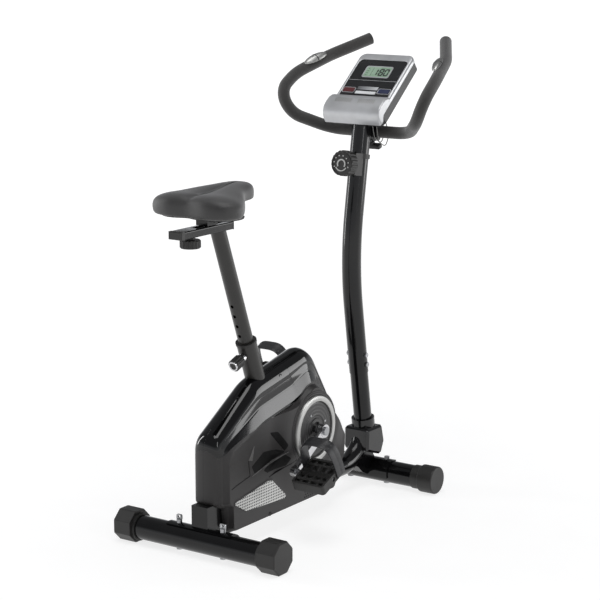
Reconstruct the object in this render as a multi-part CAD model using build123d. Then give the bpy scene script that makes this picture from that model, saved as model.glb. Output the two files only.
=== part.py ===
from build123d import *
import math
import os

# Upright magnetic exercise bike. Millimetres.
# +X is the rider's right, +Y is forward, +Z is up, and the floor is z = 0.
# Stations along Y are laid out from a datum near the middle of the bike; LAYOUT_SHIFT then moves
# every piece so that the origin lies under the middle of the overall length.

LAYOUT_SHIFT = 26.1

# Stabilisers
REAR_Y, FRONT_Y = -451.0, 297.0
STAB_Z, STAB_R, STAB_WALL = 37.0, 30.0, 2.0
REAR_HALF, FRONT_HALF = 243.0, 217.0
CAP_LENGTH, CAP_FLAT_R, CAP_RISE = 60.0, 39.5, 2.5
BOLT_R, BOLT_HEAD, REAR_BOLT_X, FRONT_BOLT_X = 4.0, 3.0, (-66.0, 66.0), (-58.0, 58.0)
ROLLER_R, ROLLER_LENGTH, HUB_R = 37.0, 46.0, 20.0

# Welded frame
BEAM_R, BEAM_Z, BEAM_REAR, BEAM_BEND_R, TUBE_WALL = 24.0, 72.0, -405.0, 105.0, 2.0
POST_R, POST_LEAN, POST_KNEE, POST_BOW_R = 25.5, 0.158, (195.9, 625.4), 800.0
STUB_TOP, POST_FOOT, POST_TOP = 385.0, 316.0, 1006.0
POST_BOLT_Z, POST_BOLT_R = (340.0, 366.0), 3.5
CABLE_EXIT_Y, TENSION_Z = -206.0, 874.5

# Seat column: a line leaning back
SEAT_BASE, SEAT_SLOPE = (-232.5, 411.0), -0.378
SLEEVE_R, SLEEVE_BORE_R, SLEEVE_TOP = 25.0, 21.5, 491.0
SEAT_POST_R, SEAT_POST_WALL, SEAT_POST_FOOT = 19.0, 1.5, 290.0
HOLE_PITCH, HOLE_COUNT = 28.0, 8
PIN_Z, PIN_R, PIN_BOSS_R, PIN_BOSS = 466.0, 4.0, 9.0, 37.0

# Seat rail and saddle
RAIL_REAR, RAIL_FRONT, RAIL_LOW, RAIL_HIGH, RAIL_HALF = -525.0, -339.0, 784.0, 803.0, 20.0
RAIL_WALL, SLOT_HALF, CARRIAGE_Y, RAIL_KNOB_Y = 2.0, 7.0, -416.0, -480.0
SADDLE_REAR, SADDLE_NOSE, SADDLE_LOW, SADDLE_HIGH = -502.0, -260.0, 829.0, 893.0
SADDLE_HALF, NOSE_HALF, CLAMP_Z = 123.0, 41.0, 815.0
SADDLE_SIDE = [(-515, 829, 6), (-400, 829, 30), (-335, 849, 30), (-250, 852, 6), (-250, 893, 6), (-300, 893, 40),
               (-515, 884, 6)]

# Drive
BB_Y, BB_Z, AXLE_R, AXLE_HALF = -65.0, 238.0, 8.5, 101.0
CRANK_DY, CRANK_DZ = -126.0, -76.0
ARM_X, ARM_THICK, SPINDLE_R = 88.0, 12.0, 6.0
PEDAL_X, PEDAL_HALF_X, PEDAL_HALF_Y, PEDAL_TILT = 163.0, 47.0, 50.0, 24.0
FLY_Y, FLY_Z, FLY_R, FLY_HALF, SHAFT_R, HUB_OUT_R = -330.0, 215.0, 100.0, 14.0, 6.0, 14.0
BELT_X0, BELT_X1, BIG_R, SMALL_R, BELT_THICK = 36.0, 46.0, 95.0, 16.0, 2.5
YOKE_IN_R, YOKE_OUT_R, YOKE_PIVOT_DEG, YOKE_END_DEG = 108.0, 124.0, 14.0, 80.0

# Housing
SHELL_HALF, BULGE_HALF, SHELL_WALL, EDGE = 50.0, 66.0, 3.0, 11.0
RING_OUT_R, RING_IN_R, DISC_R = 86.7, 72.0, 71.5
# Side outline, raised bay and perforated panel: (y, z, corner radius)
SIDE = [(-438, 120, 16), (-438, 286, 42), (-262, 400, 120), (-34, 446, 52), (124, 182, 26),
        (120, 130, 20), (66, 40, 16), (-398, 42, 16), (-400, 108, 6)]
BULGE = [(-104, 52, 8), (-104, 148, 18), (-194, 204, 22), (-236, 264, 26), (-150, 338, 70),
         (-24, 352, 60), (96, 172, 26), (92, 128, 20), (52, 48, 10)]
GRILLE = [(-389, 121, 4), (-336, 90, 5), (-158, 80, 6), (-228, 142, 9), (-246, 144, 9)]

# Handlebar
BAR_R, GRIP_R, BAR_Y, BAR_Z, CLAMP_HALF = 12.7, 16.0, 292.0, 957.0, 22.0
# Corners of one side of the bar from its middle, and the bend radius at each
BAR_CORNERS = [(120, 0, 0), (190, -82, 41), (222, -100, 98), (216, -33, 144), (180, 80, 186), (119, 181, 226)]
BAR_RADII = [80, 70, 50, 180, 200]
# Console: a plane leaning back, from the lower edge of its face
CONSOLE_Y, CONSOLE_Z, CONSOLE_LEAN = 195.0, 1003.0, 50.6
FACE_LENGTH, FACE_TOP_HALF, FACE_LOW_HALF, COVER_HALF = 237.0, 83.0, 84.0, 87.0
LCD_Y, LCD_W, LCD_H = 168.0, 76.0, 36.0
BUTTON_X, BUTTON_Y, BUTTON_W, BUTTON_H = 54.0, 98.0, 34.0, 15.0

RUN = 0.05        # radial clearance of a running fit
GAP = 0.4         # clearance between pieces that pass each other


# ---------------------------------------------------------------- general shapes

UP = (0, 0, 1)


def x_cylinder(y, z, radius, x0, x1):
    """Cylinder along X between two stations."""
    return Plane.YZ.offset(x0) * Pos(y, z) * extrude(Circle(radius), amount=x1 - x0)


def x_ring(y, z, outer, inner, x0, x1):
    return x_cylinder(y, z, outer, x0, x1) - x_cylinder(y, z, inner, x0 - 1, x1 + 1)


def slab(outline, x0, x1):
    """Closed (y, z) outline extruded between two X stations."""
    return face_slab(make_face(outline), x0, x1)


def face_slab(face, x0, x1):
    return Plane.YZ.offset(x0) * extrude(face, amount=x1 - x0, dir=UP)


def polygon(*points):
    return Polyline(*points, close=True)


def rounded(points_and_radii):
    """Closed polygon whose corners have their own radii: (y, z, radius)."""
    points = [(p[0], p[1]) for p in points_and_radii]
    return FilletPolyline(*points, radius=[p[2] for p in points_and_radii], close=True)


def rod(path, radius):
    """Round bar along a path."""
    return sweep(Plane(path @ 0, z_dir=path % 0) * Circle(radius), path)


def axis_plane(origin, direction, x_dir=(1, 0, 0)):
    return Plane(origin=origin, x_dir=x_dir, z_dir=direction)


def drum(plane, radius, low, high):
    """Cylinder along a plane's normal, between two heights on it."""
    return plane * Pos(0, 0, low) * extrude(Circle(radius), amount=high - low)


def prism(plane, sketch, low, high):
    """Flat sketch raised along a plane's normal, between two heights on it."""
    return plane * Pos(0, 0, low) * extrude(sketch, amount=high - low, dir=UP)


def fluted(radius, depth, count, length, edge):
    """Round knob with scalloped sides, standing on the local XY plane."""
    knob = extrude(Circle(radius), amount=length)
    knob = chamfer(knob.edges().filter_by(GeomType.CIRCLE), edge)
    flute = extrude(Circle(depth * 2), amount=length)
    for turn in range(count):
        angle = math.radians(360 * turn / count)
        reach = radius + depth
        knob -= Pos(reach * math.cos(angle), reach * math.sin(angle)) * flute
    return knob


def hex_bolt(flats, head, radius, length):
    """Hexagon head on the local XY plane with its shank going down."""
    top = extrude(RegularPolygon(flats / math.sqrt(3), 6), amount=head)
    shank = Pos(0, 0, -length) * extrude(Circle(radius), amount=length)
    return top + shank


def mirrored(shape):
    return mirror(shape, about=Plane.YZ)


# ---------------------------------------------------------------- lines of the bike

def post_y(z):
    """Y of the handlebar post's straight lines, below and above the bow."""
    lean = -POST_LEAN if z < POST_KNEE[1] else POST_LEAN
    return POST_KNEE[0] + lean * (z - POST_KNEE[1])


def seat_y(z):
    return SEAT_BASE[0] + SEAT_SLOPE * (z - SEAT_BASE[1])


SEAT_AXIS = Vector(0, SEAT_SLOPE, 1).normalized()
SEAT_BACK = Vector(0, -1, SEAT_SLOPE).normalized()
POST_BACK = Vector(0, -1, POST_LEAN).normalized()
FACE = Plane(
    origin=(0, CONSOLE_Y, CONSOLE_Z),
    x_dir=(1, 0, 0),
    z_dir=(0, -math.cos(math.radians(CONSOLE_LEAN)), math.sin(math.radians(CONSOLE_LEAN))),
)


def beam_path(start_y, top_z):
    corner_y = post_y(BEAM_Z)
    return FilletPolyline((0, start_y, BEAM_Z), (0, corner_y, BEAM_Z), (0, post_y(top_z), top_z),
                          radius=BEAM_BEND_R)


def seat_line(z):
    return axis_plane((0, seat_y(z), z), SEAT_AXIS)


# ---------------------------------------------------------------- frame

def frame_beam():
    path = beam_path(BEAM_REAR, STUB_TOP)
    beam = rod(path, BEAM_R) - rod(path, BEAM_R - TUBE_WALL)
    return beam - Pos(0, CABLE_EXIT_Y, BEAM_Z + BEAM_R) * Cylinder(4, 20) - post_bolt_holes()


def beam_envelope(extra):
    return rod(beam_path(BEAM_REAR - 1, STUB_TOP), BEAM_R + extra)


def seat_tube():
    foot = BEAM_Z
    length = (SLEEVE_TOP - foot) / SEAT_AXIS.Z
    line = seat_line(foot)
    tube = drum(line, SLEEVE_R, 0, length) + drum(pin_plane(), PIN_BOSS_R, 10, PIN_BOSS)
    tube -= drum(line, SLEEVE_BORE_R, -5, length + 5)
    return tube - beam_envelope(0) - drum(pin_plane(), PIN_R + RUN, 0, PIN_BOSS + 4)


def seat_bushing():
    """Nylon liner of the sleeve with a lip round its mouth."""
    line = seat_line(SLEEVE_TOP)
    liner = drum(line, SLEEVE_BORE_R, -70, 0) + drum(line, SLEEVE_R + 1.5, 0, 6)
    liner -= drum(line, SEAT_POST_R + RUN, -75, 10)
    return liner - drum(pin_plane(), PIN_R + 2, 0, SLEEVE_R + 4)


def bb_bracket():
    """Upright box and cross shell that carry the crank axle."""
    box = Pos(0, BB_Y, (BEAM_Z + BB_Z) / 2) * Box(40, 36, BB_Z - BEAM_Z)
    shell = x_cylinder(BB_Y, BB_Z, 24, -34, 34)
    bore = x_cylinder(BB_Y, BB_Z, 20, -35, 35)
    return box + shell - bore - beam_envelope(0) - drum(seat_line(BEAM_Z), SLEEVE_R, -20, 400)


def flywheel_fork():
    """Folded U bracket on the beam; the flywheel's shaft turns in bushes in its two cheeks."""
    cheek = rounded([(FLY_Y - 45, 97, 4), (FLY_Y - 18, FLY_Z + 18, 17), (FLY_Y + 18, FLY_Z + 18, 17),
                     (FLY_Y + 60, 97, 4)])
    fork = Pos(0, FLY_Y + 5, 98.5) * Box(66, 100, 3)
    for x0 in (-33, 29):
        fork += slab(cheek, x0, x0 + 4)
    return fork - x_cylinder(FLY_Y, FLY_Z, SHAFT_R + RUN, -40, 40)


def yoke_bracket():
    """Tab on the seat tube that holds the magnet yoke's pivot."""
    py, pz = yoke_pivot()
    tab = rounded([(py - 8, pz - 9, 8), (py - 8, pz + 9, 8), (seat_y(pz) - 8, pz + 16, 2),
                   (seat_y(pz) - 8, pz - 16, 2)])
    tabs = slab(tab, -27, -24) + slab(tab, 24, 27)
    bar = Pos(0, seat_y(pz) - 14, pz) * Box(54, 4, 24)
    return tabs + bar - drum(seat_line(pz), SLEEVE_R, -60, 60) - x_cylinder(py, pz, 4, -30, 30)


def cradle(y, angle0, angle1, half):
    """Curved plate that wraps part of a stabiliser tube, angles from +Y up over the top."""
    inner, outer = STAB_R, STAB_R + 4
    a0, a1 = math.radians(angle0), math.radians(angle1)
    mid = (a0 + a1) / 2
    rim = [(y + r * math.cos(a), STAB_Z + r * math.sin(a)) for r, a in
           ((inner, a0), (inner, mid), (inner, a1), (outer, a1), (outer, mid), (outer, a0))]
    outline = Curve() + [ThreePointArc(rim[0], rim[1], rim[2]), Line(rim[2], rim[3]),
                         ThreePointArc(rim[3], rim[4], rim[5]), Line(rim[5], rim[0])]
    return slab(outline, -half, half)


def rear_bracket():
    plate = cradle(REAR_Y, 0, 115, 96)
    web = slab(polygon((REAR_Y - 6, STAB_Z + STAB_R), (REAR_Y - 6, 124), (BEAM_REAR + 8, 124),
                       (BEAM_REAR + 8, 48), (REAR_Y + 26, 48)), -24, 24)
    bracket = plate + web - x_cylinder(REAR_Y, STAB_Z, STAB_R, -100, 100)
    for x in REAR_BOLT_X:
        bracket -= Pos(x, REAR_Y, STAB_Z) * Cylinder(BOLT_R, 100)
    return bracket - beam_envelope(0)


def front_bracket():
    plate = cradle(FRONT_Y, 62, 200, 78)
    web = slab(polygon((214, 62), (236, 104), (282, 92), (300, 66), (262, 30), (236, 42)), -19, 19)
    bracket = plate + web - x_cylinder(FRONT_Y, STAB_Z, STAB_R, -100, 100)
    for x in FRONT_BOLT_X:
        bracket -= Pos(x, FRONT_Y, STAB_Z) * Cylinder(BOLT_R, 100)
    return bracket - beam_envelope(0)


# ---------------------------------------------------------------- stabilisers

def stabiliser(y, half, bolts):
    tube = x_ring(y, STAB_Z, STAB_R, STAB_R - STAB_WALL, -half, half)
    for x in bolts:
        tube -= Pos(x, y, STAB_Z) * Cylinder(BOLT_R, 2 * STAB_R + 4)
    return tube


def rear_stabiliser():
    return stabiliser(REAR_Y, REAR_HALF - 8, REAR_BOLT_X)


def front_stabiliser():
    return stabiliser(FRONT_Y, FRONT_HALF - ROLLER_LENGTH - 2, FRONT_BOLT_X)


def stabiliser_bolt(x, y, proud):
    """Shank through a floor tube, standing proud above it, and its flat head below."""
    foot = STAB_Z - STAB_R - BOLT_HEAD
    shank = Pos(x, y, foot) * extrude(Circle(BOLT_R), amount=2 * STAB_R + BOLT_HEAD + proud)
    head = Pos(x, y, foot) * extrude(Circle(2 * BOLT_R), amount=BOLT_HEAD)
    return shank, head


def rear_bolts():
    """Carriage bolts through the rear tube, with dome heads below and wing nuts above."""
    group = []
    for x in REAR_BOLT_X:
        shank, head = stabiliser_bolt(x, REAR_Y, 10)
        nut = Pos(x, REAR_Y, STAB_Z + STAB_R + 8.5) * Cylinder(7, 9)
        loop = Pos(x, REAR_Y, STAB_Z + STAB_R + 18) * Box(16, 4, 14)
        loop = fillet(loop.edges().filter_by(Axis.Y), 4)
        loop -= Pos(x, REAR_Y, STAB_Z + STAB_R + 20) * Rot(90, 0, 0) * Cylinder(3.6, 10)
        group.append(shank + head + nut + loop)
    return Compound(children=group)


def front_bolts():
    group = []
    for x in FRONT_BOLT_X:
        shank, head = stabiliser_bolt(x, FRONT_Y, 8)
        nut = Pos(x, FRONT_Y, STAB_Z + STAB_R + 4) * extrude(RegularPolygon(8, 6), amount=7)
        group.append(shank + head + nut)
    return Compound(children=group)


def levelling_cap():
    """Eight-sided foot that turns on the tube's end; its flats lie at different heights."""
    centre_z = STAB_Z + CAP_RISE
    x0 = REAR_HALF - CAP_LENGTH
    flats = extrude(RegularPolygon(CAP_FLAT_R / math.cos(math.pi / 8), 8, rotation=22.5), amount=52)
    flats = fillet(flats.edges().filter_by(Axis.Z), 5)
    flats = chamfer(flats.faces().sort_by(Axis.Z)[-1].edges(), 3)
    cap = Plane.YZ.offset(x0 + 8) * Pos(REAR_Y, centre_z) * flats
    cap += x_cylinder(REAR_Y, STAB_Z, STAB_R + 4, x0, x0 + 8)
    return cap - x_cylinder(REAR_Y, STAB_Z, STAB_R + RUN, x0 - 1, REAR_HALF - 7)


def roller_hub():
    """Plug pressed into the front tube; the transport roller turns on its nose."""
    x0 = FRONT_HALF - ROLLER_LENGTH
    hub = x_cylinder(FRONT_Y, STAB_Z, STAB_R - STAB_WALL, x0 - 30, x0 - 2)
    hub += x_cylinder(FRONT_Y, STAB_Z, STAB_R + 2, x0 - 22, x0 - 1)
    hub -= x_ring(FRONT_Y, STAB_Z, STAB_R, STAB_R - STAB_WALL, x0 - 40, x0 - 2)
    return hub + x_cylinder(FRONT_Y, STAB_Z, HUB_R, x0 - 1, FRONT_HALF - 6)


def roller():
    x0 = FRONT_HALF - ROLLER_LENGTH
    body = extrude(Circle(ROLLER_R), amount=ROLLER_LENGTH)
    body = fillet(body.edges().filter_by(GeomType.CIRCLE), 4)
    body = Plane.YZ.offset(x0) * Pos(FRONT_Y, STAB_Z) * body
    return body - x_cylinder(FRONT_Y, STAB_Z, HUB_R + RUN, x0 - 1, FRONT_HALF - 5)


# ---------------------------------------------------------------- housing

def half_shell():
    """Right half of the housing: a hollow side with a raised bay round the crank."""
    body = slab(rounded(SIDE), 0, SHELL_HALF)
    edge = body.faces().sort_by(Axis.X)[-1].edges()
    body = chamfer(edge, EDGE)
    bay = slab(rounded(BULGE), SHELL_HALF - 6, BULGE_HALF)
    bay = chamfer(bay.faces().sort_by(Axis.X)[-1].edges(), 5)
    inner_core = offset(make_face(rounded(SIDE)), -SHELL_WALL)
    inner_side = offset(make_face(rounded(SIDE)), -SHELL_WALL - EDGE)
    inner_bay = offset(make_face(rounded(BULGE)), -SHELL_WALL - 2)
    shell = body + bay - face_slab(inner_core, -1, SHELL_HALF - EDGE - 1)
    shell -= face_slab(inner_side, -1, SHELL_HALF - SHELL_WALL)
    shell -= face_slab(inner_bay, SHELL_HALF - 20, BULGE_HALF - SHELL_WALL)
    shell -= x_cylinder(BB_Y, BB_Z, 26, 40, 80)
    shell -= drum(seat_line(SEAT_BASE[1]), SLEEVE_R + 0.5, -120, 160)
    shell -= beam_envelope(0.5)
    bracket_gap = Pos(0, REAR_Y, 88) * Box(49, 2 * (BEAM_REAR - REAR_Y + 10), 80)
    return shell - bracket_gap


def trim_ring():
    """Bright ring let on to the bay round the crank."""
    ring = x_ring(BB_Y, BB_Z, RING_OUT_R, RING_IN_R, BULGE_HALF, BULGE_HALF + 9)
    return chamfer(ring.faces().sort_by(Axis.X)[-1].edges(), 2)


def round_cover():
    disc = x_ring(BB_Y, BB_Z, DISC_R, 19, BULGE_HALF, BULGE_HALF + 5)
    return disc - x_ring(BB_Y, BB_Z, 34, 31, BULGE_HALF + 4, BULGE_HALF + 6)


def grille():
    """Perforated side panel, four-cornered, with rows of round holes."""
    return slab(rounded(GRILLE), SHELL_HALF, SHELL_HALF + 2)


def housing_screws():
    """Pan-head screws that close the two halves, in pairs from both sides."""
    group = []
    for y, z in ((-236, 52), (-165, 392), (96, 100)):
        screw = x_cylinder(y, z, 3.5, SHELL_HALF, SHELL_HALF + 2)
        group += [screw, mirrored(screw)]
    return Compound(children=group)


def post_boot():
    """Plastic boot round the foot of the post."""
    body = slab(rounded([(230, 104, 10), (232, 163, 8), (304, 163, 8), (316, 116, 14), (300, 80, 8),
                         (262, 92, 12)]), -39, 39)
    body = chamfer(body.faces().filter_by(Plane.YZ).edges(), 6)
    ring_line = axis_plane((0, post_y(163), 163), (0, -POST_LEAN, 1))
    boot = body + drum(ring_line, 31, -8, 24)
    boot -= beam_envelope(0.5)
    return boot - x_cylinder(FRONT_Y, STAB_Z, STAB_R + 5, -60, 60) - front_bracket()


# ---------------------------------------------------------------- post and tension control

def handlebar_post():
    foot, knee, top = ((0, post_y(z), z) for z in (POST_FOOT, POST_KNEE[1], POST_TOP))
    path = FilletPolyline(foot, knee, top, radius=POST_BOW_R)
    return rod(path, POST_R) - rod(path, BEAM_R) - post_bolt_holes()


def post_bolt_holes():
    low, high = POST_BOLT_Z
    return (x_cylinder(post_y(low), low, POST_BOLT_R, -40, 40)
            + x_cylinder(post_y(high), high, POST_BOLT_R, -40, 40))


def post_bolts():
    """Short bolts from both sides that hold the post on the frame's stub."""
    group = []
    for z in POST_BOLT_Z:
        y = post_y(z)
        right = Plane(origin=(POST_R, y, z), x_dir=(0, 1, 0), z_dir=(1, 0, 0))
        bolt = right * hex_bolt(12, 5, POST_BOLT_R, 6)
        group += [bolt, mirrored(bolt)]
    return Compound(children=group)


def tension_plane():
    return axis_plane((0, post_y(TENSION_Z), TENSION_Z), POST_BACK)


def tension_base():
    """Case of the resistance control, saddled on the back of the post."""
    plane = tension_plane()
    case = plane * Pos(0, 0, 32) * Box(46, 58, 36)
    line = axis_plane((0, post_y(TENSION_Z), TENSION_Z), (0, POST_LEAN, 1))
    case = case - drum(line, POST_R + 0.1, -60, 60)
    strap = drum(line, POST_R + 3, 16, 28) - drum(line, POST_R + 0.1, 10, 40)
    return case + strap - drum(plane, 5 + RUN, 30, 60)


def tension_knob():
    plane = tension_plane()
    knob = plane * Pos(0, 0, 50.5) * fluted(33.5, 2.2, 18, 30, 2.5)
    return knob + drum(plane, 5, 34, 51)


# ---------------------------------------------------------------- handlebar

def bar_points(side):
    return [(side * x, BAR_Y + y, BAR_Z + z) for x, y, z in BAR_CORNERS]


def handlebar_tube():
    points = list(reversed(bar_points(-1))) + bar_points(1)
    path = FilletPolyline(*points, radius=list(reversed(BAR_RADII)) + BAR_RADII)
    return rod(path, BAR_R) - rod(path, BAR_R - 1.5)


def grip(start_x):
    """Foam sleeve over one side of the bar."""
    path = FilletPolyline((start_x, BAR_Y, BAR_Z), *bar_points(1), radius=BAR_RADII)
    return rod(path, GRIP_R) - rod(path, BAR_R)


def bar_line():
    """Plane across the right arm where the pulse plates sit."""
    low, high = Vector(*bar_points(1)[3]), Vector(*bar_points(1)[4])
    direction = (high - low).normalized()
    return Plane(origin=low + direction * 62, x_dir=(1, 0, 0.3), z_dir=direction)


def pulse_plates():
    """Two curved steel plates on a black carrier, clipped over the grip."""
    plane = bar_line()
    plates = []
    for low in (-27, 5):
        plate = drum(plane, GRIP_R + 1.6, low, low + 22) - drum(plane, GRIP_R + 0.1, low - 1, low + 23)
        plates.append(plate & (plane * Pos(-GRIP_R, 0, 0) * Box(2 * GRIP_R, 40, 80)))
    return Compound(children=plates)


def bar_end():
    """Domed plastic plug in the end of the bar."""
    low, high = Vector(*bar_points(1)[4]), Vector(*bar_points(1)[5])
    plane = axis_plane(high, (high - low).normalized())
    return drum(plane, GRIP_R, 0, 3) + drum(plane, BAR_R - 1.5, -14, 0)


def handlebar_clamp():
    """Split block welded to the front of the post; the bar turns in its bore."""
    block = slab(rounded([(BAR_Y - 30, BAR_Z - 24, 3), (BAR_Y - 30, BAR_Z + 20, 3), (BAR_Y + 6, BAR_Z + 20, 14),
                          (BAR_Y + 20, BAR_Z + 4, 12), (BAR_Y + 14, BAR_Z - 24, 6)]), -CLAMP_HALF, CLAMP_HALF)
    line = axis_plane((0, post_y(BAR_Z), BAR_Z), (0, POST_LEAN, 1))
    block -= drum(line, POST_R, -80, 80)
    block -= x_cylinder(BAR_Y, BAR_Z, BAR_R + RUN, -40, 40)
    return block - drum(clamp_plane(), 4 + RUN, -30, 20)


def clamp_plane():
    return axis_plane((0, BAR_Y + 4, BAR_Z - 24), (0, 0.35, -0.94))


def clamp_knob():
    """T-shaped hand screw below the clamp."""
    plane = clamp_plane()
    lever = plane * Pos(0, 0, 17) * Box(54, 18, 14)
    lever = fillet(lever.edges(), 5)
    boss = drum(plane, 9, 4, 17)
    return lever + boss + drum(plane, 4, -9, 4)


# ---------------------------------------------------------------- console

def face_outline(inset):
    low, top = FACE_LOW_HALF - inset, FACE_TOP_HALF - inset
    corners = Polyline((-low, 8 + inset), (low, 8 + inset), (top, FACE_LENGTH - inset),
                       (-top, FACE_LENGTH - inset), close=True)
    return fillet(make_face(corners).vertices(), 17)


def panel_outline():
    corners = Polyline((-75, 20), (75, 20), (74, FACE_LENGTH - 23), (-74, FACE_LENGTH - 23), close=True)
    return fillet(make_face(corners).vertices(), 12)


def post_space():
    """Room for the top of the post inside the console."""
    line = axis_plane((0, post_y(BAR_Z), BAR_Z), (0, POST_LEAN, 1))
    return drum(line, POST_R + 1, -60, POST_TOP - BAR_Z + 4)


def console_back():
    """Black rear shell, cut out at its lower edge for the post."""
    outer = prism(FACE, face_outline(2), -40, -14)
    outer -= prism(FACE, face_outline(5), -37, -10)
    return outer - post_space() - cover_roll(GAP, COVER_HALF + 2)


def console_front():
    """Silver front rim with the recess for the panel."""
    rim = prism(FACE, face_outline(0), -14, 0)
    rim -= prism(FACE, panel_outline(), -4, 6)
    rim -= prism(FACE, face_outline(9), -20, -7)
    return rim - cover_roll(GAP, COVER_HALF + 2) - post_space()


def console_panel():
    """Black panel with the display window and two button holes."""
    panel = prism(FACE, panel_outline(), -4, -1.5)
    panel -= prism(FACE, Pos(0, LCD_Y) * RectangleRounded(LCD_W, LCD_H, 3), -6, 4)
    for x in (-BUTTON_X, BUTTON_X):
        hole = RectangleRounded(BUTTON_W + 2 * GAP, BUTTON_H + 2 * GAP, 3)
        panel -= prism(FACE, Pos(x, BUTTON_Y) * hole, -6, 4)
    return panel - cover_roll(GAP, COVER_HALF + 2)


def lcd():
    return prism(FACE, Pos(0, LCD_Y) * RectangleRounded(LCD_W - 0.2, LCD_H - 0.2, 3), -4, -1.1)


def button(x):
    return prism(FACE, Pos(x, BUTTON_Y) * RectangleRounded(BUTTON_W, BUTTON_H, 2.6), -2.6, 0.8)


def cover_roll(extra, half):
    """Solid with the rolled cover's section; extra grows it for clearance."""
    low, mid, top = -4 - extra, 8 + extra, 17 + extra
    section = Curve() + [
        ThreePointArc((low, -22), (4, mid), (34, top)),
        ThreePointArc((34, top), (60, 14 + extra), (76 + extra, -extra)),
        Polyline((76 + extra, -extra), (70, -6 - extra), (24, -8 - extra), (12 + extra, -22), (low, -22)),
    ]
    return FACE * Plane.YZ.offset(-half) * extrude(make_face(section), amount=2 * half, dir=UP)


def console_cover():
    """Rolled silver cover across the foot of the console, with two rows of vents."""
    cover = cover_roll(0, COVER_HALF)
    for x0 in (-46, 8):
        for step in range(9):
            cover -= FACE * Pos(x0 + 4.6 * step, 41, 17) * Box(2, 14, 2)
    return cover - post_space()


def console_bracket():
    """Steel plate on the post's top that the console is screwed to."""
    line = axis_plane((0, post_y(POST_TOP), POST_TOP), (0, POST_LEAN, 1))
    plate = FACE * Pos(0, 66, -35) * Box(60, 90, 3)
    cap = drum(line, POST_R - 2, 0, 2)
    return plate + cap


def cables():
    """Two pulse leads that hang in loops under the console, and the brake's pull cable in the frame."""
    inside = FilletPolyline((0, post_y(860), 860), (0, POST_KNEE[0], POST_KNEE[1]), (0, post_y(BEAM_Z), BEAM_Z),
                            (0, CABLE_EXIT_Y, BEAM_Z), (0, CABLE_EXIT_Y + 2, 226), radius=[500, 80, 30])
    group = [rod(inside, 1.5)]
    for x, sag in ((27, 926), (40, 918)):
        path = FilletPolyline((x, 253, 998), (x + 2, 268, sag + 16), (x + 5, 296, sag), (x + 4, 316, sag + 30),
                              (x, 283, 1022), radius=[14, 12, 14])
        group.append(rod(path, 1.25))
    return Compound(children=group)


# ---------------------------------------------------------------- seat column

def pin_plane():
    return axis_plane((0, seat_y(PIN_Z), PIN_Z), SEAT_BACK)


def seat_pin():
    """Spring pin with its pull knob."""
    plane = pin_plane()
    knob = plane * Pos(0, 0, PIN_BOSS + 0.6) * fluted(15.5, 1.2, 14, 30, 1.5)
    return knob + drum(plane, PIN_R, SEAT_POST_R + 0.4, PIN_BOSS + 1)


def seat_post():
    length = (RAIL_LOW - SEAT_POST_FOOT) / SEAT_AXIS.Z + 30
    line = seat_line(SEAT_POST_FOOT)
    post = drum(line, SEAT_POST_R, 0, length) - drum(line, SEAT_POST_R - SEAT_POST_WALL, -5, length + 5)
    post -= Pos(0, -350, RAIL_LOW + 50) * Box(200, 200, 100)
    for step in range(HOLE_COUNT):
        z = PIN_Z + (step - 2) * HOLE_PITCH * SEAT_AXIS.Z
        hole = axis_plane((0, seat_y(z), z), SEAT_BACK)
        post -= drum(hole, 4.5, 5, SEAT_POST_R + 5)
    return post


def seat_rail():
    """Slotted box rail welded across the top of the seat post."""
    middle, length = (RAIL_REAR + RAIL_FRONT) / 2, RAIL_FRONT - RAIL_REAR
    height = RAIL_HIGH - RAIL_LOW
    rail = Pos(0, middle, RAIL_LOW + height / 2) * Box(2 * RAIL_HALF, length, height)
    rail = fillet(rail.edges().filter_by(Axis.Y), 3)
    rail -= Pos(0, middle, RAIL_LOW + height / 2) * Box(
        2 * (RAIL_HALF - RAIL_WALL), length + 2, height - 2 * RAIL_WALL)
    rail -= Pos(0, CARRIAGE_Y, RAIL_HIGH) * Box(2 * SLOT_HALF, 108, 10)
    return rail - Pos(0, RAIL_KNOB_Y, RAIL_LOW) * Cylinder(4 + RUN, 10)


def rail_caps():
    """Moulded plugs in the rail's two ends."""
    height = RAIL_HIGH - RAIL_LOW
    group = []
    for y, outward in ((RAIL_REAR, -1), (RAIL_FRONT, 1)):
        length = 12 if outward < 0 else 4
        head = Pos(0, y + outward * length / 2, RAIL_LOW + height / 2) * Box(2 * RAIL_HALF, length, height)
        head = chamfer(head.faces().sort_by(Axis.Y)[0 if outward < 0 else -1].edges(), 1.5)
        plug = Pos(0, y - outward * 4, RAIL_LOW + height / 2) * Box(
            2 * (RAIL_HALF - RAIL_WALL), 8, height - 2 * RAIL_WALL)
        group.append(head + plug)
    return Compound(children=group)


def rail_knob():
    plane = Plane(origin=(0, RAIL_KNOB_Y, RAIL_LOW - 0.5), x_dir=(1, 0, 0), z_dir=(0, 0, -1))
    collar = drum(plane, 11, 0, 6)
    knob = plane * Pos(0, 0, 6) * fluted(25, 1.8, 16, 20, 2.5)
    return knob + collar + drum(plane, 4, -1.9, 1)


def saddle_carriage():
    """Slide block in the rail with a neck through its slot."""
    inner_half = RAIL_HALF - RAIL_WALL - GAP
    height = RAIL_HIGH - RAIL_LOW - 2 * RAIL_WALL - 2 * GAP
    block = Pos(0, CARRIAGE_Y, (RAIL_LOW + RAIL_HIGH) / 2) * Box(2 * inner_half, 60, height)
    neck = Pos(0, CARRIAGE_Y, RAIL_HIGH) * Box(2 * SLOT_HALF - 2 * GAP, 44, 12)
    return block + neck + saddle_clamp()


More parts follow.
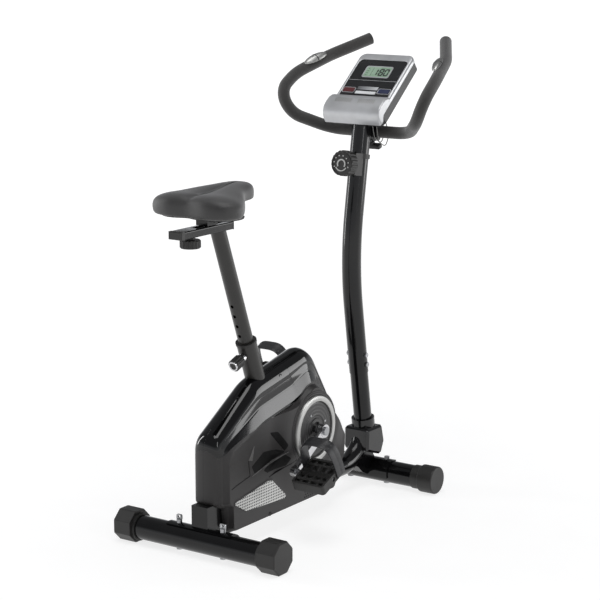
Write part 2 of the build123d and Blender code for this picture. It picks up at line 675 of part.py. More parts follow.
def saddle_clamp():
    """Cast clamp on the carriage's neck that grips the saddle's base."""
    height = SADDLE_LOW - 3 - RAIL_HIGH - 1
    clamp = Pos(0, CARRIAGE_Y, RAIL_HIGH + 1 + height / 2) * Box(34, 40, height)
    bolt = x_cylinder(CARRIAGE_Y, CLAMP_Z, 3.5, -24, -17) + x_cylinder(CARRIAGE_Y, CLAMP_Z, 3.5, 17, 24)
    for x0 in (-26, 20):
        bolt += x_cylinder(CARRIAGE_Y, CLAMP_Z, 4, x0, x0 + 6)
    return clamp + bolt


def saddle_plan(inset):
    """Plan of the saddle: broad rounded cheeks behind and a short wide nose."""
    half, nose = SADDLE_HALF - inset, NOSE_HALF - inset
    rear, tip = SADDLE_REAR + inset, SADDLE_NOSE - inset
    right = [(0, rear + 7), (half - 62, rear - 1), (half - 16, rear + 16), (half, rear + 56),
             (half - 28, rear + 112), (nose + 8, rear + 170), (nose, tip - 32), (nose - 16, tip - 6), (0, tip)]
    left = [(-x, y) for x, y in reversed(right[1:-1])]
    return make_face(Spline(*right, *left, periodic=True))


def saddle_base():
    plate = Pos(0, 0, SADDLE_LOW - 3) * extrude(saddle_plan(16), amount=3)
    return plate & Pos(0, CARRIAGE_Y - 30, SADDLE_LOW) * Box(300, 120, 50)


def saddle_pad():
    pad = Pos(0, 0, SADDLE_LOW) * extrude(saddle_plan(0), amount=SADDLE_HIGH - SADDLE_LOW)
    pad = chamfer(pad.faces().sort_by(Axis.Z)[-1].edges(), 14)
    return pad & slab(rounded(SADDLE_SIDE), -SADDLE_HALF - 10, SADDLE_HALF + 10)


# ---------------------------------------------------------------- drive

def crank_axle():
    """Axle with a nut at each end, outside the crank arms."""
    axle = x_cylinder(BB_Y, BB_Z, AXLE_R, -AXLE_HALF, AXLE_HALF)
    nut = x_cylinder(BB_Y, BB_Z, 11, AXLE_HALF, AXLE_HALF + 4)
    return axle + nut + mirrored(nut)


def bb_bearings():
    group = [x_ring(BB_Y, BB_Z, 20, AXLE_R + RUN, x0, x0 + 12) for x0 in (-34, 22)]
    return Compound(children=group)


def crank_arm(side):
    """Chromed arm with a boss at each end; side is 1 on the right and -1 on the left."""
    ey, ez = BB_Y + side * CRANK_DY, BB_Z + side * CRANK_DZ
    length = math.hypot(CRANK_DY, CRANK_DZ)
    angle = math.degrees(math.atan2(ez - BB_Z, ey - BB_Y))
    web = Pos(length / 2, 0) * Rectangle(length, 20)
    bar = Plane.YZ.offset(ARM_X) * Pos(BB_Y, BB_Z) * Rot(0, 0, angle) * extrude(web, amount=ARM_THICK)
    arm = bar + x_cylinder(BB_Y, BB_Z, 17, ARM_X - 8, ARM_X + ARM_THICK + 1)
    arm += x_cylinder(ey, ez, 13, ARM_X, ARM_X + ARM_THICK + 1)
    arm -= x_cylinder(BB_Y, BB_Z, AXLE_R, 60, 120)
    arm -= x_cylinder(ey, ez, SPINDLE_R, 60, 120)
    return arm if side > 0 else mirrored(arm)


def pedal_spindle(side):
    ey, ez = BB_Y + side * CRANK_DY, BB_Z + side * CRANK_DZ
    spindle = x_cylinder(ey, ez, SPINDLE_R, ARM_X, PEDAL_X + PEDAL_HALF_X - 4)
    spindle += x_cylinder(ey, ez, 9, ARM_X + ARM_THICK + 1, ARM_X + ARM_THICK + 5)
    return spindle if side > 0 else mirrored(spindle)


def pedal_frame(side):
    """Local frame of a pedal: x across, y along the foot, z up from the sole."""
    ey, ez = BB_Y + side * CRANK_DY, BB_Z + side * CRANK_DZ
    return Pos(side * PEDAL_X, ey, ez) * Rot(PEDAL_TILT, 0, 0)


def pedal_body(side):
    """Open cage with cross treads round a hub that turns on the spindle."""
    half_x, half_y, half_z = PEDAL_HALF_X, PEDAL_HALF_Y, 12
    cage = Box(2 * half_x, 2 * half_y, 2 * half_z)
    cage = fillet(cage.edges().filter_by(Axis.Z), 8)
    cage -= Box(2 * half_x - 12, 2 * half_y - 14, 2 * half_z + 2)
    cage += Rot(0, 90, 0) * Cylinder(11, 2 * half_x)
    for y in (-28, 28):
        cage += Pos(0, y, 0) * Box(2 * half_x - 6, 8, 2 * half_z - 4)
    for x in (-24, 0, 24):
        cage += Pos(x, 0, 0) * Box(6, 2 * half_y - 8, 2 * half_z - 6)
    cage -= Rot(0, 90, 0) * Cylinder(SPINDLE_R + RUN, 2 * half_x + 10)
    return pedal_frame(side) * cage


def toe_strap(side):
    """Ribbed rubber band arched over the foot, fixed to the cage's two sides."""
    inner, height, thick = PEDAL_HALF_X, 84.0, 3.5
    outer = FilletPolyline((-inner - thick, -10), (-inner - thick, height), (inner + thick, height),
                           (inner + thick, -10), radius=42)
    inside = FilletPolyline((inner, -10), (inner, height - thick), (-inner, height - thick), (-inner, -10),
                            radius=39)
    band = make_face(outer + Line(outer @ 1, inside @ 0) + inside + Line(inside @ 1, outer @ 0))
    band = extrude(Plane.XZ * band, amount=17, both=True)
    return pedal_frame(side) * Pos(0, 30, 0) * band


def drive_pulley():
    rim = x_cylinder(BB_Y, BB_Z, BIG_R, BELT_X0, BELT_X1)
    for turn in range(5):
        angle = math.radians(72 * turn)
        rim -= x_cylinder(BB_Y + 56 * math.cos(angle), BB_Z + 56 * math.sin(angle), 20, BELT_X0 - 1, BELT_X1 + 1)
    return rim - x_cylinder(BB_Y, BB_Z, AXLE_R, 0, 80)


def small_pulley():
    return x_ring(FLY_Y, FLY_Z, SMALL_R, SHAFT_R, BELT_X0 - 2, BELT_X1)


def flywheel():
    """Cast wheel with a thick rim and a thinner web."""
    wheel = x_cylinder(FLY_Y, FLY_Z, FLY_R, -FLY_HALF, FLY_HALF)
    for x0 in (-FLY_HALF - 1, FLY_HALF - 6):
        wheel -= x_ring(FLY_Y, FLY_Z, 74, 26, x0, x0 + 7)
    return wheel - x_cylinder(FLY_Y, FLY_Z, HUB_OUT_R, -20, 20)


def flywheel_hub():
    return x_ring(FLY_Y, FLY_Z, HUB_OUT_R, SHAFT_R, -FLY_HALF - 4, FLY_HALF + 4)


def flywheel_shaft():
    """Shaft keyed to the wheel and the small pulley, with a shoulder outside the left cheek."""
    shaft = x_cylinder(FLY_Y, FLY_Z, SHAFT_R, -42, 46.6)
    return shaft + x_cylinder(FLY_Y, FLY_Z, 10, -42, -33.2)


def belt():
    """Ribbed belt as a closed loop round both pulleys, a hair off their rims."""
    dy, dz = FLY_Y - BB_Y, FLY_Z - BB_Z
    span, base = math.hypot(dy, dz), math.atan2(dz, dy)
    turn = math.acos((BIG_R - SMALL_R) / span)

    def loop(extra):
        def at(cy, cz, radius, angle):
            return (cy + (radius + extra) * math.cos(angle), cz + (radius + extra) * math.sin(angle))
        big = [at(BB_Y, BB_Z, BIG_R, base + a) for a in (turn, math.pi, -turn)]
        small = [at(FLY_Y, FLY_Z, SMALL_R, base + a) for a in (-turn, 0, turn)]
        return Curve() + [ThreePointArc(*big), Line(big[2], small[0]), ThreePointArc(*small),
                          Line(small[2], big[0])]

    return slab(loop(GAP + BELT_THICK), BELT_X0, BELT_X1) - slab(loop(GAP), BELT_X0 - 1, BELT_X1 + 1)


def yoke_pivot():
    angle, radius = math.radians(YOKE_PIVOT_DEG), (YOKE_IN_R + YOKE_OUT_R) / 2
    return FLY_Y + radius * math.cos(angle), FLY_Z + radius * math.sin(angle)


def arc_band(inner, outer, deg0, deg1, x0, x1):
    """Part of a ring round the flywheel's axis, angles measured from +Y upwards."""
    a0, a1 = math.radians(deg0), math.radians(deg1)
    ends = [(FLY_Y + r * math.cos(a), FLY_Z + r * math.sin(a)) for r, a in
            ((inner, a0), (inner, (a0 + a1) / 2), (inner, a1), (outer, a1), (outer, (a0 + a1) / 2), (outer, a0))]
    outline = Curve() + [ThreePointArc(ends[0], ends[1], ends[2]), Line(ends[2], ends[3]),
                         ThreePointArc(ends[3], ends[4], ends[5]), Line(ends[5], ends[0])]
    return slab(outline, x0, x1)


def magnet_yoke():
    """Curved arm that carries the brake magnets over the flywheel's rim."""
    py, pz = yoke_pivot()
    yoke = arc_band(YOKE_IN_R + 4, YOKE_OUT_R, YOKE_PIVOT_DEG, YOKE_END_DEG, -20, 20)
    yoke += x_cylinder(py, pz, 8, -23.4, 23.4)
    return yoke - x_cylinder(py, pz, 4 + RUN, -30, 30)


def brake_magnets():
    """Six block magnets under the yoke's arch."""
    group = []
    for step in range(6):
        start = YOKE_PIVOT_DEG + 12 + 9 * step
        group.append(arc_band(YOKE_IN_R, YOKE_IN_R + 4, start, start + 7, -14, 14))
    return Compound(children=group)


def yoke_pin():
    py, pz = yoke_pivot()
    return x_cylinder(py, pz, 4, -28, 28)


# ---------------------------------------------------------------- export

def pair(name, shape):
    """Right-hand piece and its mirror image, each a node of its own."""
    return {name + "_right": shape, name + "_left": mirrored(shape)}


def both(shape):
    """Right-hand piece and its mirror image in one node."""
    return Compound(children=[shape, mirrored(shape)])


def frame_nodes():
    return {
        "frame_beam": frame_beam(),
        "seat_tube": seat_tube(),
        "seat_bushing": seat_bushing(),
        "drive_mounts": Compound(children=[bb_bracket(), flywheel_fork(), yoke_bracket(), yoke_pin()]),
        "stabiliser_brackets": Compound(children=[rear_bracket(), front_bracket()]),
        "rear_stabiliser": rear_stabiliser(),
        "front_stabiliser": front_stabiliser(),
        "frame_bolts": Compound(children=[rear_bolts(), front_bolts(), post_bolts()]),
        "roller_hubs": both(roller_hub()),
        **pair("levelling_cap", levelling_cap()),
        **pair("roller", roller()),
    }


def housing_nodes():
    return {
        **pair("housing", half_shell()),
        "trim_rings": both(trim_ring()),
        "round_covers": both(round_cover()),
        "grilles": both(grille()),
        "housing_screws": housing_screws(),
        "post_boot": post_boot(),
    }


def front_nodes():
    return {
        "handlebar_post": Compound(children=[handlebar_post(), console_bracket()]),
        "tension_base": tension_base(),
        "tension_knob": tension_knob(),
        "handlebar_clamp": handlebar_clamp(),
        "clamp_knob": clamp_knob(),
        "handlebar_tube": handlebar_tube(),
        "grips": both(grip(CLAMP_HALF + 6)),
        "pulse_plates": both(pulse_plates()),
        "bar_ends": both(bar_end()),
        "cables": cables(),
        "console_back": console_back(),
        "console_front": console_front(),
        "console_panel": console_panel(),
        "console_cover": console_cover(),
        "lcd": lcd(),
        "button_left": button(-BUTTON_X),
        "button_right": button(BUTTON_X),
    }


def seat_nodes():
    return {
        "seat_pin": seat_pin(),
        "seat_post": seat_post(),
        "seat_rail": seat_rail(),
        "rail_caps": rail_caps(),
        "rail_knob": rail_knob(),
        "saddle_carriage": saddle_carriage(),
        "saddle_base": saddle_base(),
        "saddle_pad": saddle_pad(),
    }


def drive_nodes():
    made = {
        "crank_axle": crank_axle(),
        "bb_bearings": bb_bearings(),
        "crank_arms": Compound(children=[crank_arm(1), crank_arm(-1)]),
        "pedal_spindles": Compound(children=[pedal_spindle(1), pedal_spindle(-1)]),
        "drive_pulley": drive_pulley(),
        "belt": belt(),
        "flywheel": flywheel(),
        "flywheel_hub": Compound(children=[flywheel_hub(), small_pulley()]),
        "flywheel_shaft": flywheel_shaft(),
        "magnet_yoke": magnet_yoke(),
        "brake_magnets": brake_magnets(),
    }
    for name, side in (("right", 1), ("left", -1)):
        made["pedal_" + name] = pedal_body(side)
        made["toe_strap_" + name] = toe_strap(side)
    return made


def main():
    os.makedirs("parts", exist_ok=True)
    made = {**frame_nodes(), **housing_nodes(), **front_nodes(), **seat_nodes(), **drive_nodes()}
    boxes = [shape.bounding_box() for shape in made.values()]
    rear, front = min(box.min.Y for box in boxes), max(box.max.Y for box in boxes)
    print(len(made), "nodes; LAYOUT_SHIFT that centres them is", -(rear + front) / 2)
    for name, shape in made.items():
        export_step(Pos(0, LAYOUT_SHIFT, 0) * shape, f"parts/{name}.step")


main()
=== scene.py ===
import bpy
import math
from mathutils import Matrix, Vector


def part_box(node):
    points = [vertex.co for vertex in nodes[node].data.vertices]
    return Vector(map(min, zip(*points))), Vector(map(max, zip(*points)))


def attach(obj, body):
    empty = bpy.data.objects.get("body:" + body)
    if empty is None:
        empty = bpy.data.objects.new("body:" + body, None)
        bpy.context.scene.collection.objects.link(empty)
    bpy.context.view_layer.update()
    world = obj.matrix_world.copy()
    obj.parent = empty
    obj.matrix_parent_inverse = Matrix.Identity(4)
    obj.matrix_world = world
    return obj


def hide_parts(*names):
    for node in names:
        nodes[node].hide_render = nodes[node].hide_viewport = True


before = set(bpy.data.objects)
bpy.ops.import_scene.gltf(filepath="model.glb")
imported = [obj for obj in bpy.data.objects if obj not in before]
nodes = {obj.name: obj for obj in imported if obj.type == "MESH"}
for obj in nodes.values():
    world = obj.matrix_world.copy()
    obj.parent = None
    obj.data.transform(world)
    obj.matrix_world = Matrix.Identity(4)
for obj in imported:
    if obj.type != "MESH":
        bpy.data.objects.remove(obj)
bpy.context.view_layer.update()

# ---- Camera -----------------------------------------------------------------------------------
# A long lens at the bike's right, a little above the handlebar. It is far enough away for the two
# floor tubes to look nearly parallel.
YAW, PITCH = math.radians(34.66), math.radians(11.65)
camera = bpy.data.objects.new("camera", bpy.data.cameras.new("camera"))
bpy.context.scene.collection.objects.link(camera)
camera.location = (2.6851, -3.8899, 1.5319)
camera.rotation_euler = (math.pi / 2 - PITCH, 0, YAW)
camera.data.lens = 114.22
bpy.context.scene.camera = camera
bpy.context.scene.view_settings.view_transform = "Standard"


# ---- Studio floor and light -------------------------------------------------------------------
# A pale paper floor that glows a little, so that it stays pale far from the lamps, under large
# soft boxes: one overhead, two tall ones at the sides and one ahead of the bike. The air is pale
# near the horizon and dimmer above.
def linear(hex_colour):
    """sRGB hex to linear RGBA."""
    parts = [int(hex_colour[i:i + 2], 16) / 255 for i in (0, 2, 4)]
    return tuple(c / 12.92 if c <= 0.04045 else ((c + 0.055) / 1.055) ** 2.4 for c in parts) + (1.0,)


def add(tree, kind, inputs=None, **settings):
    """One shader node with its settings; inputs maps a socket to a value or to (node, output)."""
    node = tree.nodes.new("ShaderNode" + kind)
    for key, value in settings.items():
        setattr(node, key, value)
    for socket, value in (inputs or {}).items():
        if isinstance(value, tuple) and isinstance(value[0], bpy.types.Node):
            tree.links.new(value[0].outputs[value[1]], node.inputs[socket])
        else:
            node.inputs[socket].default_value = value
    return node


def start(name, **shader):
    """A new material with one shader; returns the material, its tree and the shader."""
    material = bpy.data.materials.new(name)
    material.use_nodes = True
    tree = material.node_tree
    principled = tree.nodes["Principled BSDF"]
    for key, value in shader.items():
        principled.inputs[key.replace("_", " ")].default_value = value
    return material, tree, principled


paper, tree, shader = start("seamless_paper", Roughness=0.9)
shader.inputs["Emission Color"].default_value = linear("ffffff")
where = add(tree, "TexCoord")
fibre = add(tree, "TexNoise", {"Vector": (where, "Object"), "Scale": 6.0, "Detail": 5.0})
tone = add(tree, "ValToRGB", {"Fac": (fibre, "Fac")})
tone.color_ramp.elements[0].color = linear("8e8e8e")
tone.color_ramp.elements[1].color = linear("989898")
tree.links.new(tone.outputs["Color"], shader.inputs["Base Color"])
away = add(tree, "VectorMath", {0: (where, "Object")}, operation="LENGTH")
glow = add(tree, "MapRange", {"Value": (away, "Value"), "From Min": 0.7, "From Max": 5.0,
                              "To Min": 0.78, "To Max": 1.02})
tree.links.new(glow.outputs["Result"], shader.inputs["Emission Strength"])
floor_mesh = bpy.data.meshes.new("floor")
floor_mesh.from_pydata([(-60, -60, 0), (60, -60, 0), (60, 60, 0), (-60, 60, 0)], [], [(0, 1, 2, 3)])
floor_mesh.materials.append(paper)
floor = bpy.data.objects.new("floor", floor_mesh)
bpy.context.scene.collection.objects.link(floor)
floor.location.z = -0.0006

world = bpy.data.worlds.new("studio_air")
bpy.context.scene.world = world
world.use_nodes = True
world.node_tree.nodes["Background"].inputs["Color"].default_value = linear("f2f4f8")
sky = world.node_tree
where = add(sky, "TexCoord")
spot = add(sky, "SeparateXYZ", {"Vector": (where, "Generated")})
haze = add(sky, "MapRange", {"Value": (spot, "Z"), "From Min": 0.10, "From Max": 0.30, "To Min": 0.95,
                             "To Max": 0.27})
sky.links.new(haze.outputs["Result"], sky.nodes["Background"].inputs["Strength"])


def soft_box(name, place, aim, width, height, radiance):
    """Rectangular lamp whose face has the given brightness."""
    lamp = bpy.data.lights.new(name, "AREA")
    lamp.shape, lamp.size, lamp.size_y = "RECTANGLE", width, height
    lamp.energy = radiance * math.pi * width * height
    obj = bpy.data.objects.new(name, lamp)
    bpy.context.scene.collection.objects.link(obj)
    obj.location = place
    obj.rotation_euler = (Vector(aim) - Vector(place)).to_track_quat("-Z", "Y").to_euler()


soft_box("overhead", (0.4, -0.4, 3.4), (0, 0, 0.5), 1.5, 2.2, 3.9)
soft_box("left_tall", (-3.6, -1.2, 1.5), (0, 0, 0.7), 0.45, 2.6, 12.0)
soft_box("front_right", (3.0, 2.85, 1.05), (0, 0, 0.4), 1.6, 1.5, 4.6)
soft_box("rear_right", (3.6, -1.6, 2.0), (0, 0, 0.6), 0.45, 1.6, 6.0)


# ---- Welded frame and front post --------------------------------------------------------------
# Steel tube, bent and welded, then sprayed with gloss black enamel and stoved. The paint keeps a
# faint orange peel about 3 mm across, and its gloss dulls in patches where hands wipe it.
def dress(material, *names):
    """Gives CAD nodes their finish."""
    for name in names:
        for slot in nodes[name].material_slots:
            slot.material = material


def mottle(tree, shader, scale_mm, colours, roughness, relief_mm, detail=4.0):
    """Breaks up a surface: a noise of the given grain drives its colour, roughness and relief."""
    where = add(tree, "TexCoord")
    grain = add(tree, "TexNoise", {"Vector": (where, "Object"), "Scale": 1000 / scale_mm, "Detail": detail})
    broad = add(tree, "TexNoise", {"Vector": (where, "Object"), "Scale": 14.0, "Detail": 3.0})
    tone = add(tree, "ValToRGB", {"Fac": (broad, "Fac")})
    tone.color_ramp.elements[0].position, tone.color_ramp.elements[1].position = 0.35, 0.65
    tone.color_ramp.elements[0].color = linear(colours[0])
    tone.color_ramp.elements[1].color = linear(colours[1])
    polish = add(tree, "MapRange", {"Value": (broad, "Fac"), "From Min": 0.3, "From Max": 0.7,
                                    "To Min": roughness[0], "To Max": roughness[1]})
    bump = add(tree, "Bump", {"Height": (grain, "Fac"), "Strength": 1.0, "Distance": relief_mm / 1000})
    tree.links.new(tone.outputs["Color"], shader.inputs["Base Color"])
    tree.links.new(polish.outputs["Result"], shader.inputs["Roughness"])
    tree.links.new(bump.outputs["Normal"], shader.inputs["Normal"])
    return where, grain, bump


enamel, tree, shader = start("stoved_black_enamel", IOR=1.5, Specular_IOR_Level=0.32,
                              Coat_Weight=0.12, Coat_Roughness=0.04)
mottle(tree, shader, 7, ("070708", "0b0b0c"), (0.10, 0.18), 0.012)
dress(enamel, "frame_beam", "seat_tube", "drive_mounts", "stabiliser_brackets", "rear_stabiliser",
      "front_stabiliser", "handlebar_post", "handlebar_tube", "seat_rail", "magnet_yoke",
      "handlebar_clamp", "saddle_carriage")
rubbed, tree, shader = start("satin_rubbed_enamel", IOR=1.5)
mottle(tree, shader, 5, ("1b1a18", "22201e"), (0.26, 0.36), 0.02)
dress(rubbed, "seat_post", "seat_tube")

# ---- Bolts, bearings and shafts ---------------------------------------------------------------
# Zinc-plated bolts and spindles, and ground steel bearings and axle, pushed or screwed into the
# frame: a soft metal shine with fine turning marks.
zinc, tree, shader = start("zinc_plated_steel", Metallic=1.0)
mottle(tree, shader, 1.2, ("8f9092", "b4b5b7"), (0.22, 0.4), 0.01)
dress(zinc, "frame_bolts", "pedal_spindles", "crank_axle", "bb_bearings",
      "flywheel_shaft", "brake_magnets", "flywheel_hub")

# ---- Flywheel ---------------------------------------------------------------------------------
# Grey iron casting, turned on its rim for the magnets to run close to it. It is left oiled and
# dark inside the housing, on its own shaft.
iron, tree, shader = start("turned_cast_iron", Metallic=1.0)
mottle(tree, shader, 0.9, ("33322f", "4a4946"), (0.45, 0.62), 0.05)
dress(iron, "flywheel")

# ---- Moulded black fittings -------------------------------------------------------------------
# Injection-moulded polypropylene and nylon with a spark-eroded grain of about 1 mm: dark grey in
# the light, with a broad dull sheen.
grained, tree, shader = start("grained_polypropylene", IOR=1.49)
mottle(tree, shader, 1.1, ("191817", "21201f"), (0.42, 0.55), 0.05)
dress(grained, "roller_hubs", "levelling_cap_left", "levelling_cap_right", "roller_left", "roller_right",
      "tension_base", "tension_knob", "clamp_knob", "seat_pin", "rail_knob",
      "saddle_base", "pedal_left", "pedal_right", "drive_pulley", "bar_ends", "seat_bushing", "rail_caps")

boot_abs, tree, shader = start("polished_black_abs", IOR=1.53)
mottle(tree, shader, 6, ("0b0b0c", "111112"), (0.12, 0.20), 0.02)
dress(boot_abs, "post_boot")

belt_rubber, tree, shader = start("ribbed_belt_rubber", IOR=1.5)
mottle(tree, shader, 2.0, ("141414", "1d1d1d"), (0.6, 0.75), 0.1)
dress(belt_rubber, "belt")


# ---- Housing ----------------------------------------------------------------------------------
# Two injection-moulded ABS halves that meet on the centre line, screwed together from both sides.
# Each has a crowned gloss upper part with two polished facets along its shoulder, and a fine-grained
# dark grey lower part that swells into a bay round the crank.
SHIFT = (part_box("rear_stabiliser")[0].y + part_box("rear_stabiliser")[1].y) / 2 * 1000 + 451


def at(x, y, z):
    """Millimetres on the bike's layout to metres in its frame."""
    return Vector((x / 1000, (y + SHIFT) / 1000, z / 1000))


def inset(corners, depth):
    """An outline of (y, z, radius) corners moved in by depth."""
    area = sum(a[0] * b[1] - b[0] * a[1] for a, b in zip(corners, corners[1:] + corners[:1]))
    side = 1 if area > 0 else -1
    moved = []
    for i, (y, z, radius) in enumerate(corners):
        before, after = corners[i - 1], corners[(i + 1) % len(corners)]
        e0 = Vector((y - before[0], z - before[1])).normalized()
        e1 = Vector((after[0] - y, after[1] - z)).normalized()
        n0, n1 = Vector((-e0.y, e0.x)) * side, Vector((-e1.y, e1.x)) * side
        step = (n0 + n1) / (1 + n0.dot(n1))
        convex = side * (e0.x * e1.y - e0.y * e1.x) > 0
        moved.append((y + step.x * depth, z + step.y * depth, max(radius + (-depth if convex else depth), 1)))
    return moved


def outline(corners, arc=8, run=24):
    """Points round a polygon with rounded corners, in step from one outline to the next."""
    arcs = []
    for i, (y, z, radius) in enumerate(corners):
        here = Vector((y, z))
        a = Vector(corners[i - 1][:2]) - here
        c = Vector(corners[(i + 1) % len(corners)][:2]) - here
        half = a.angle(c) / 2
        cut = min(radius / math.tan(half), 0.47 * min(a.length, c.length))
        middle = here + (a.normalized() + c.normalized()).normalized() * cut / math.cos(half)
        s, e = here + a.normalized() * cut - middle, here + c.normalized() * cut - middle
        a0 = math.atan2(s.y, s.x)
        turn = (math.atan2(e.y, e.x) - a0 + math.pi) % (2 * math.pi) - math.pi
        sweep = [a0 + turn * k / arc for k in range(arc + 1)]
        arcs.append([middle + s.length * Vector((math.cos(angle), math.sin(angle))) for angle in sweep])
    points = []
    for i, bend in enumerate(arcs):
        following = arcs[(i + 1) % len(arcs)][0]
        points += bend + [bend[-1].lerp(following, k / run) for k in range(1, run)]
    return points


def skin(name, rings, material, body, cap=True, smooth_deg=40, close=True):
    """Mesh through rings of points, each ring closed, with its two ends filled in."""
    count = len(rings[0])
    faces = []
    for i in range(len(rings) - 1):
        for k in range(count if close else count - 1):
            a, b = i * count + k, i * count + (k + 1) % count
            faces.append((a, b, b + count, a + count))
    if cap:
        faces += [tuple(reversed(range(count))), tuple(range((len(rings) - 1) * count, len(rings) * count))]
    return piece(name, [p for ring in rings for p in ring], faces, material, body, smooth_deg)


def piece(name, points, faces, material, body, smooth_deg=40):
    mesh = bpy.data.meshes.new(name)
    mesh.from_pydata([tuple(p) for p in points], [], faces)
    mesh.validate()
    made = bpy.data.objects.new(name, mesh)
    bpy.context.scene.collection.objects.link(made)
    bpy.context.view_layer.objects.active = made
    made.select_set(True)
    bpy.ops.object.mode_set(mode="EDIT")
    bpy.ops.mesh.select_all(action="SELECT")
    bpy.ops.mesh.normals_make_consistent(inside=False)
    bpy.ops.object.mode_set(mode="OBJECT")
    mesh.shade_smooth()
    mesh.set_sharp_from_angle(angle=math.radians(smooth_deg))
    made.select_set(False)
    mesh.materials.append(material)
    weighted = made.modifiers.new("even_normals", "WEIGHTED_NORMAL")
    weighted.keep_sharp = True
    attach(made, body)
    return made


def flip(points):
    return [Vector((-p.x, p.y, p.z)) for p in points]


ABS_EDGE = [(-440, 262), (-425, 243), (-389, 259), (-309, 283), (-195, 306), (-119, 323), (-71, 352),
            (-13, 357), (27, 338), (70, 296), (130, 240)]
shell_abs, tree, shader = start("moulded_abs_gloss_and_grain", IOR=1.53, Specular_IOR_Level=0.4)
where, grain, bump = mottle(tree, shader, 1.4, ("201e1e", "272525"), (0.42, 0.52), 0.045)
spot = add(tree, "SeparateXYZ", {"Vector": (where, "Object")})
along = add(tree, "MapRange", {"Value": (spot, "Y"), "From Min": (-440 + SHIFT) / 1000,
                               "From Max": (130 + SHIFT) / 1000})
line = add(tree, "FloatCurve", {"Value": (along, "Result")})
curve = line.mapping.curves[0]
for y, z in ABS_EDGE[1:-1]:
    curve.points.new((y + 440) / 570, z / 500)
curve.points[0].location = (0, ABS_EDGE[0][1] / 500)
curve.points[len(curve.points) - 1].location = (1, ABS_EDGE[-1][1] / 500)
for point in curve.points:
    point.handle_type = "AUTO_CLAMPED"
line.mapping.update()
height = add(tree, "MapRange", {"Value": (spot, "Z"), "From Min": 0.0, "From Max": 0.5})
over = add(tree, "Math", {0: (height, "Result"), 1: (line, "Value")}, operation="SUBTRACT")
upper = add(tree, "MapRange", {"Value": (over, "Value"), "From Min": -0.0008, "From Max": 0.0008})
black = add(tree, "Mix", {"Factor": (upper, "Result"), "B": linear("060607")}, data_type="RGBA")
old = shader.inputs["Base Color"].links[0].from_socket
tree.links.new(old, black.inputs["A"])
tree.links.new(black.outputs["Result"], shader.inputs["Base Color"])
gloss = add(tree, "Mix", {"Factor": (upper, "Result"), "B": 0.07}, data_type="FLOAT")
tree.links.new(shader.inputs["Roughness"].links[0].from_socket, gloss.inputs["A"])
tree.links.new(gloss.outputs["Result"], shader.inputs["Roughness"])
rest = add(tree, "Mix", {"Factor": (upper, "Result"), "B": 0.5}, data_type="FLOAT")
tree.links.new(grain.outputs["Fac"], rest.inputs["A"])
tree.links.new(rest.outputs["Result"], bump.inputs["Height"])
seam = add(tree, "Math", {0: (over, "Value"), 1: 0.0}, operation="COMPARE")
seam.inputs[2].default_value = 0.0035
groove = add(tree, "Math", {0: (seam, "Value"), 1: -0.0006}, operation="MULTIPLY")
deep = add(tree, "Bump", {"Height": (groove, "Value"), "Strength": 1.0, "Distance": 1.0,
                          "Normal": (bump, "Normal")})
tree.links.new(deep.outputs["Normal"], shader.inputs["Normal"])

# Corners are (y, z, radius) in millimetres: first the silhouette, then where the flat side starts.
SHELL_OUTER = [(-438, 120, 16), (-438, 286, 42), (-262, 400, 120), (-140, 424, 100), (-34, 446, 52),
               (124, 182, 26), (120, 130, 20), (66, 40, 16), (-398, 42, 16), (-404, 108, 6)]
SHELL_SHOULDER = [(-400, 126, 10), (-400, 244, 34), (-262, 294, 160), (-112, 323, 60), (-46, 364, 50),
                  (102, 186, 20), (98, 134, 16), (52, 52, 12), (-384, 52, 10), (-386, 114, 5)]
# Share of the way from the ridge to the shoulder, and the distance out from the centre line
CROWN = [(0, 0.7), (0.004, 5.0), (0.017, 10.3), (0.038, 15.3), (0.067, 20.0), (0.103, 24.2), (0.145, 27.8),
         (0.19, 30.6), (0.25, 33.2), (0.32, 35.2), (0.38, 36.2), (0.39, 35.6), (0.41, 35.4), (0.43, 36.2),
         (0.58, 38.8), (0.62, 39.4), (0.635, 40.0), (0.66, 41.2), (0.93, 49.2), (0.97, 50), (1.0, 50.2)]
BB = Vector((-65, 238))
BAY_R, BAY_PROUD, BAY_BLEND, BAY_EDGE = 104, 15.8, 72, 8
SIDE_X, SIDE_RINGS = 50.2, 48


def ease(t):
    t = min(max(t, 0), 1)
    return t * t * (3 - 2 * t)


def side_x(y, z, from_edge=99):
    """The side's distance out: flat at the rear, swelling into a bay round the crank."""
    bay = 1 - ease((math.hypot(y - BB.x, z - BB.y) - BAY_R) / BAY_BLEND)
    return SIDE_X + BAY_PROUD * min(bay, ease(from_edge / BAY_EDGE))


outer, shoulder = outline(SHELL_OUTER), outline(SHELL_SHOULDER)
rings = [[at(x, *a.lerp(b, share)) for a, b in zip(outer, shoulder)] for share, x in CROWN]
for step in range(1, SIDE_RINGS + 1):
    ring = []
    for edge_point in shoulder:
        reach = edge_point - BB
        inner = BB + reach.normalized() * 30
        t = (step / SIDE_RINGS) ** 1.35
        here = edge_point.lerp(inner, t)
        ring.append(at(side_x(here.x, here.y, (here - edge_point).length), *here))
    rings.append(ring)
seam_ring = [at(0, *a.lerp(b, 0.012)) for a, b in zip(outer, shoulder)]
housing = skin("housing_shell", [flip(r) for r in reversed(rings)] + [seam_ring] + rings, shell_abs, "frame",
               smooth_deg=50)
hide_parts("housing_right", "housing_left")

bay_abs, tree, shader = start("moulded_abs_grained", IOR=1.53)
mottle(tree, shader, 1.4, ("201e1e", "272525"), (0.42, 0.52), 0.045)
# Painted shade: near-black, weakly reflecting plastic for plates, grooves, vents and hole linings in shade.
painted_shade_abs, tree, shader = start("abs_painted_shade", IOR=1.53, Specular_IOR_Level=0.12)
mottle(tree, shader, 1.4, ("080808", "0e0e0e"), (0.5, 0.6), 0.045)
# Painted highlight: a pale grey for the blade and the ledge top, where light catches the black moulding.
painted_highlight_abs, tree, shader = start("pale_abs_painted_highlight", IOR=1.53)
mottle(tree, shader, 1.4, ("4c4b4a", "585756"), (0.36, 0.46), 0.03)


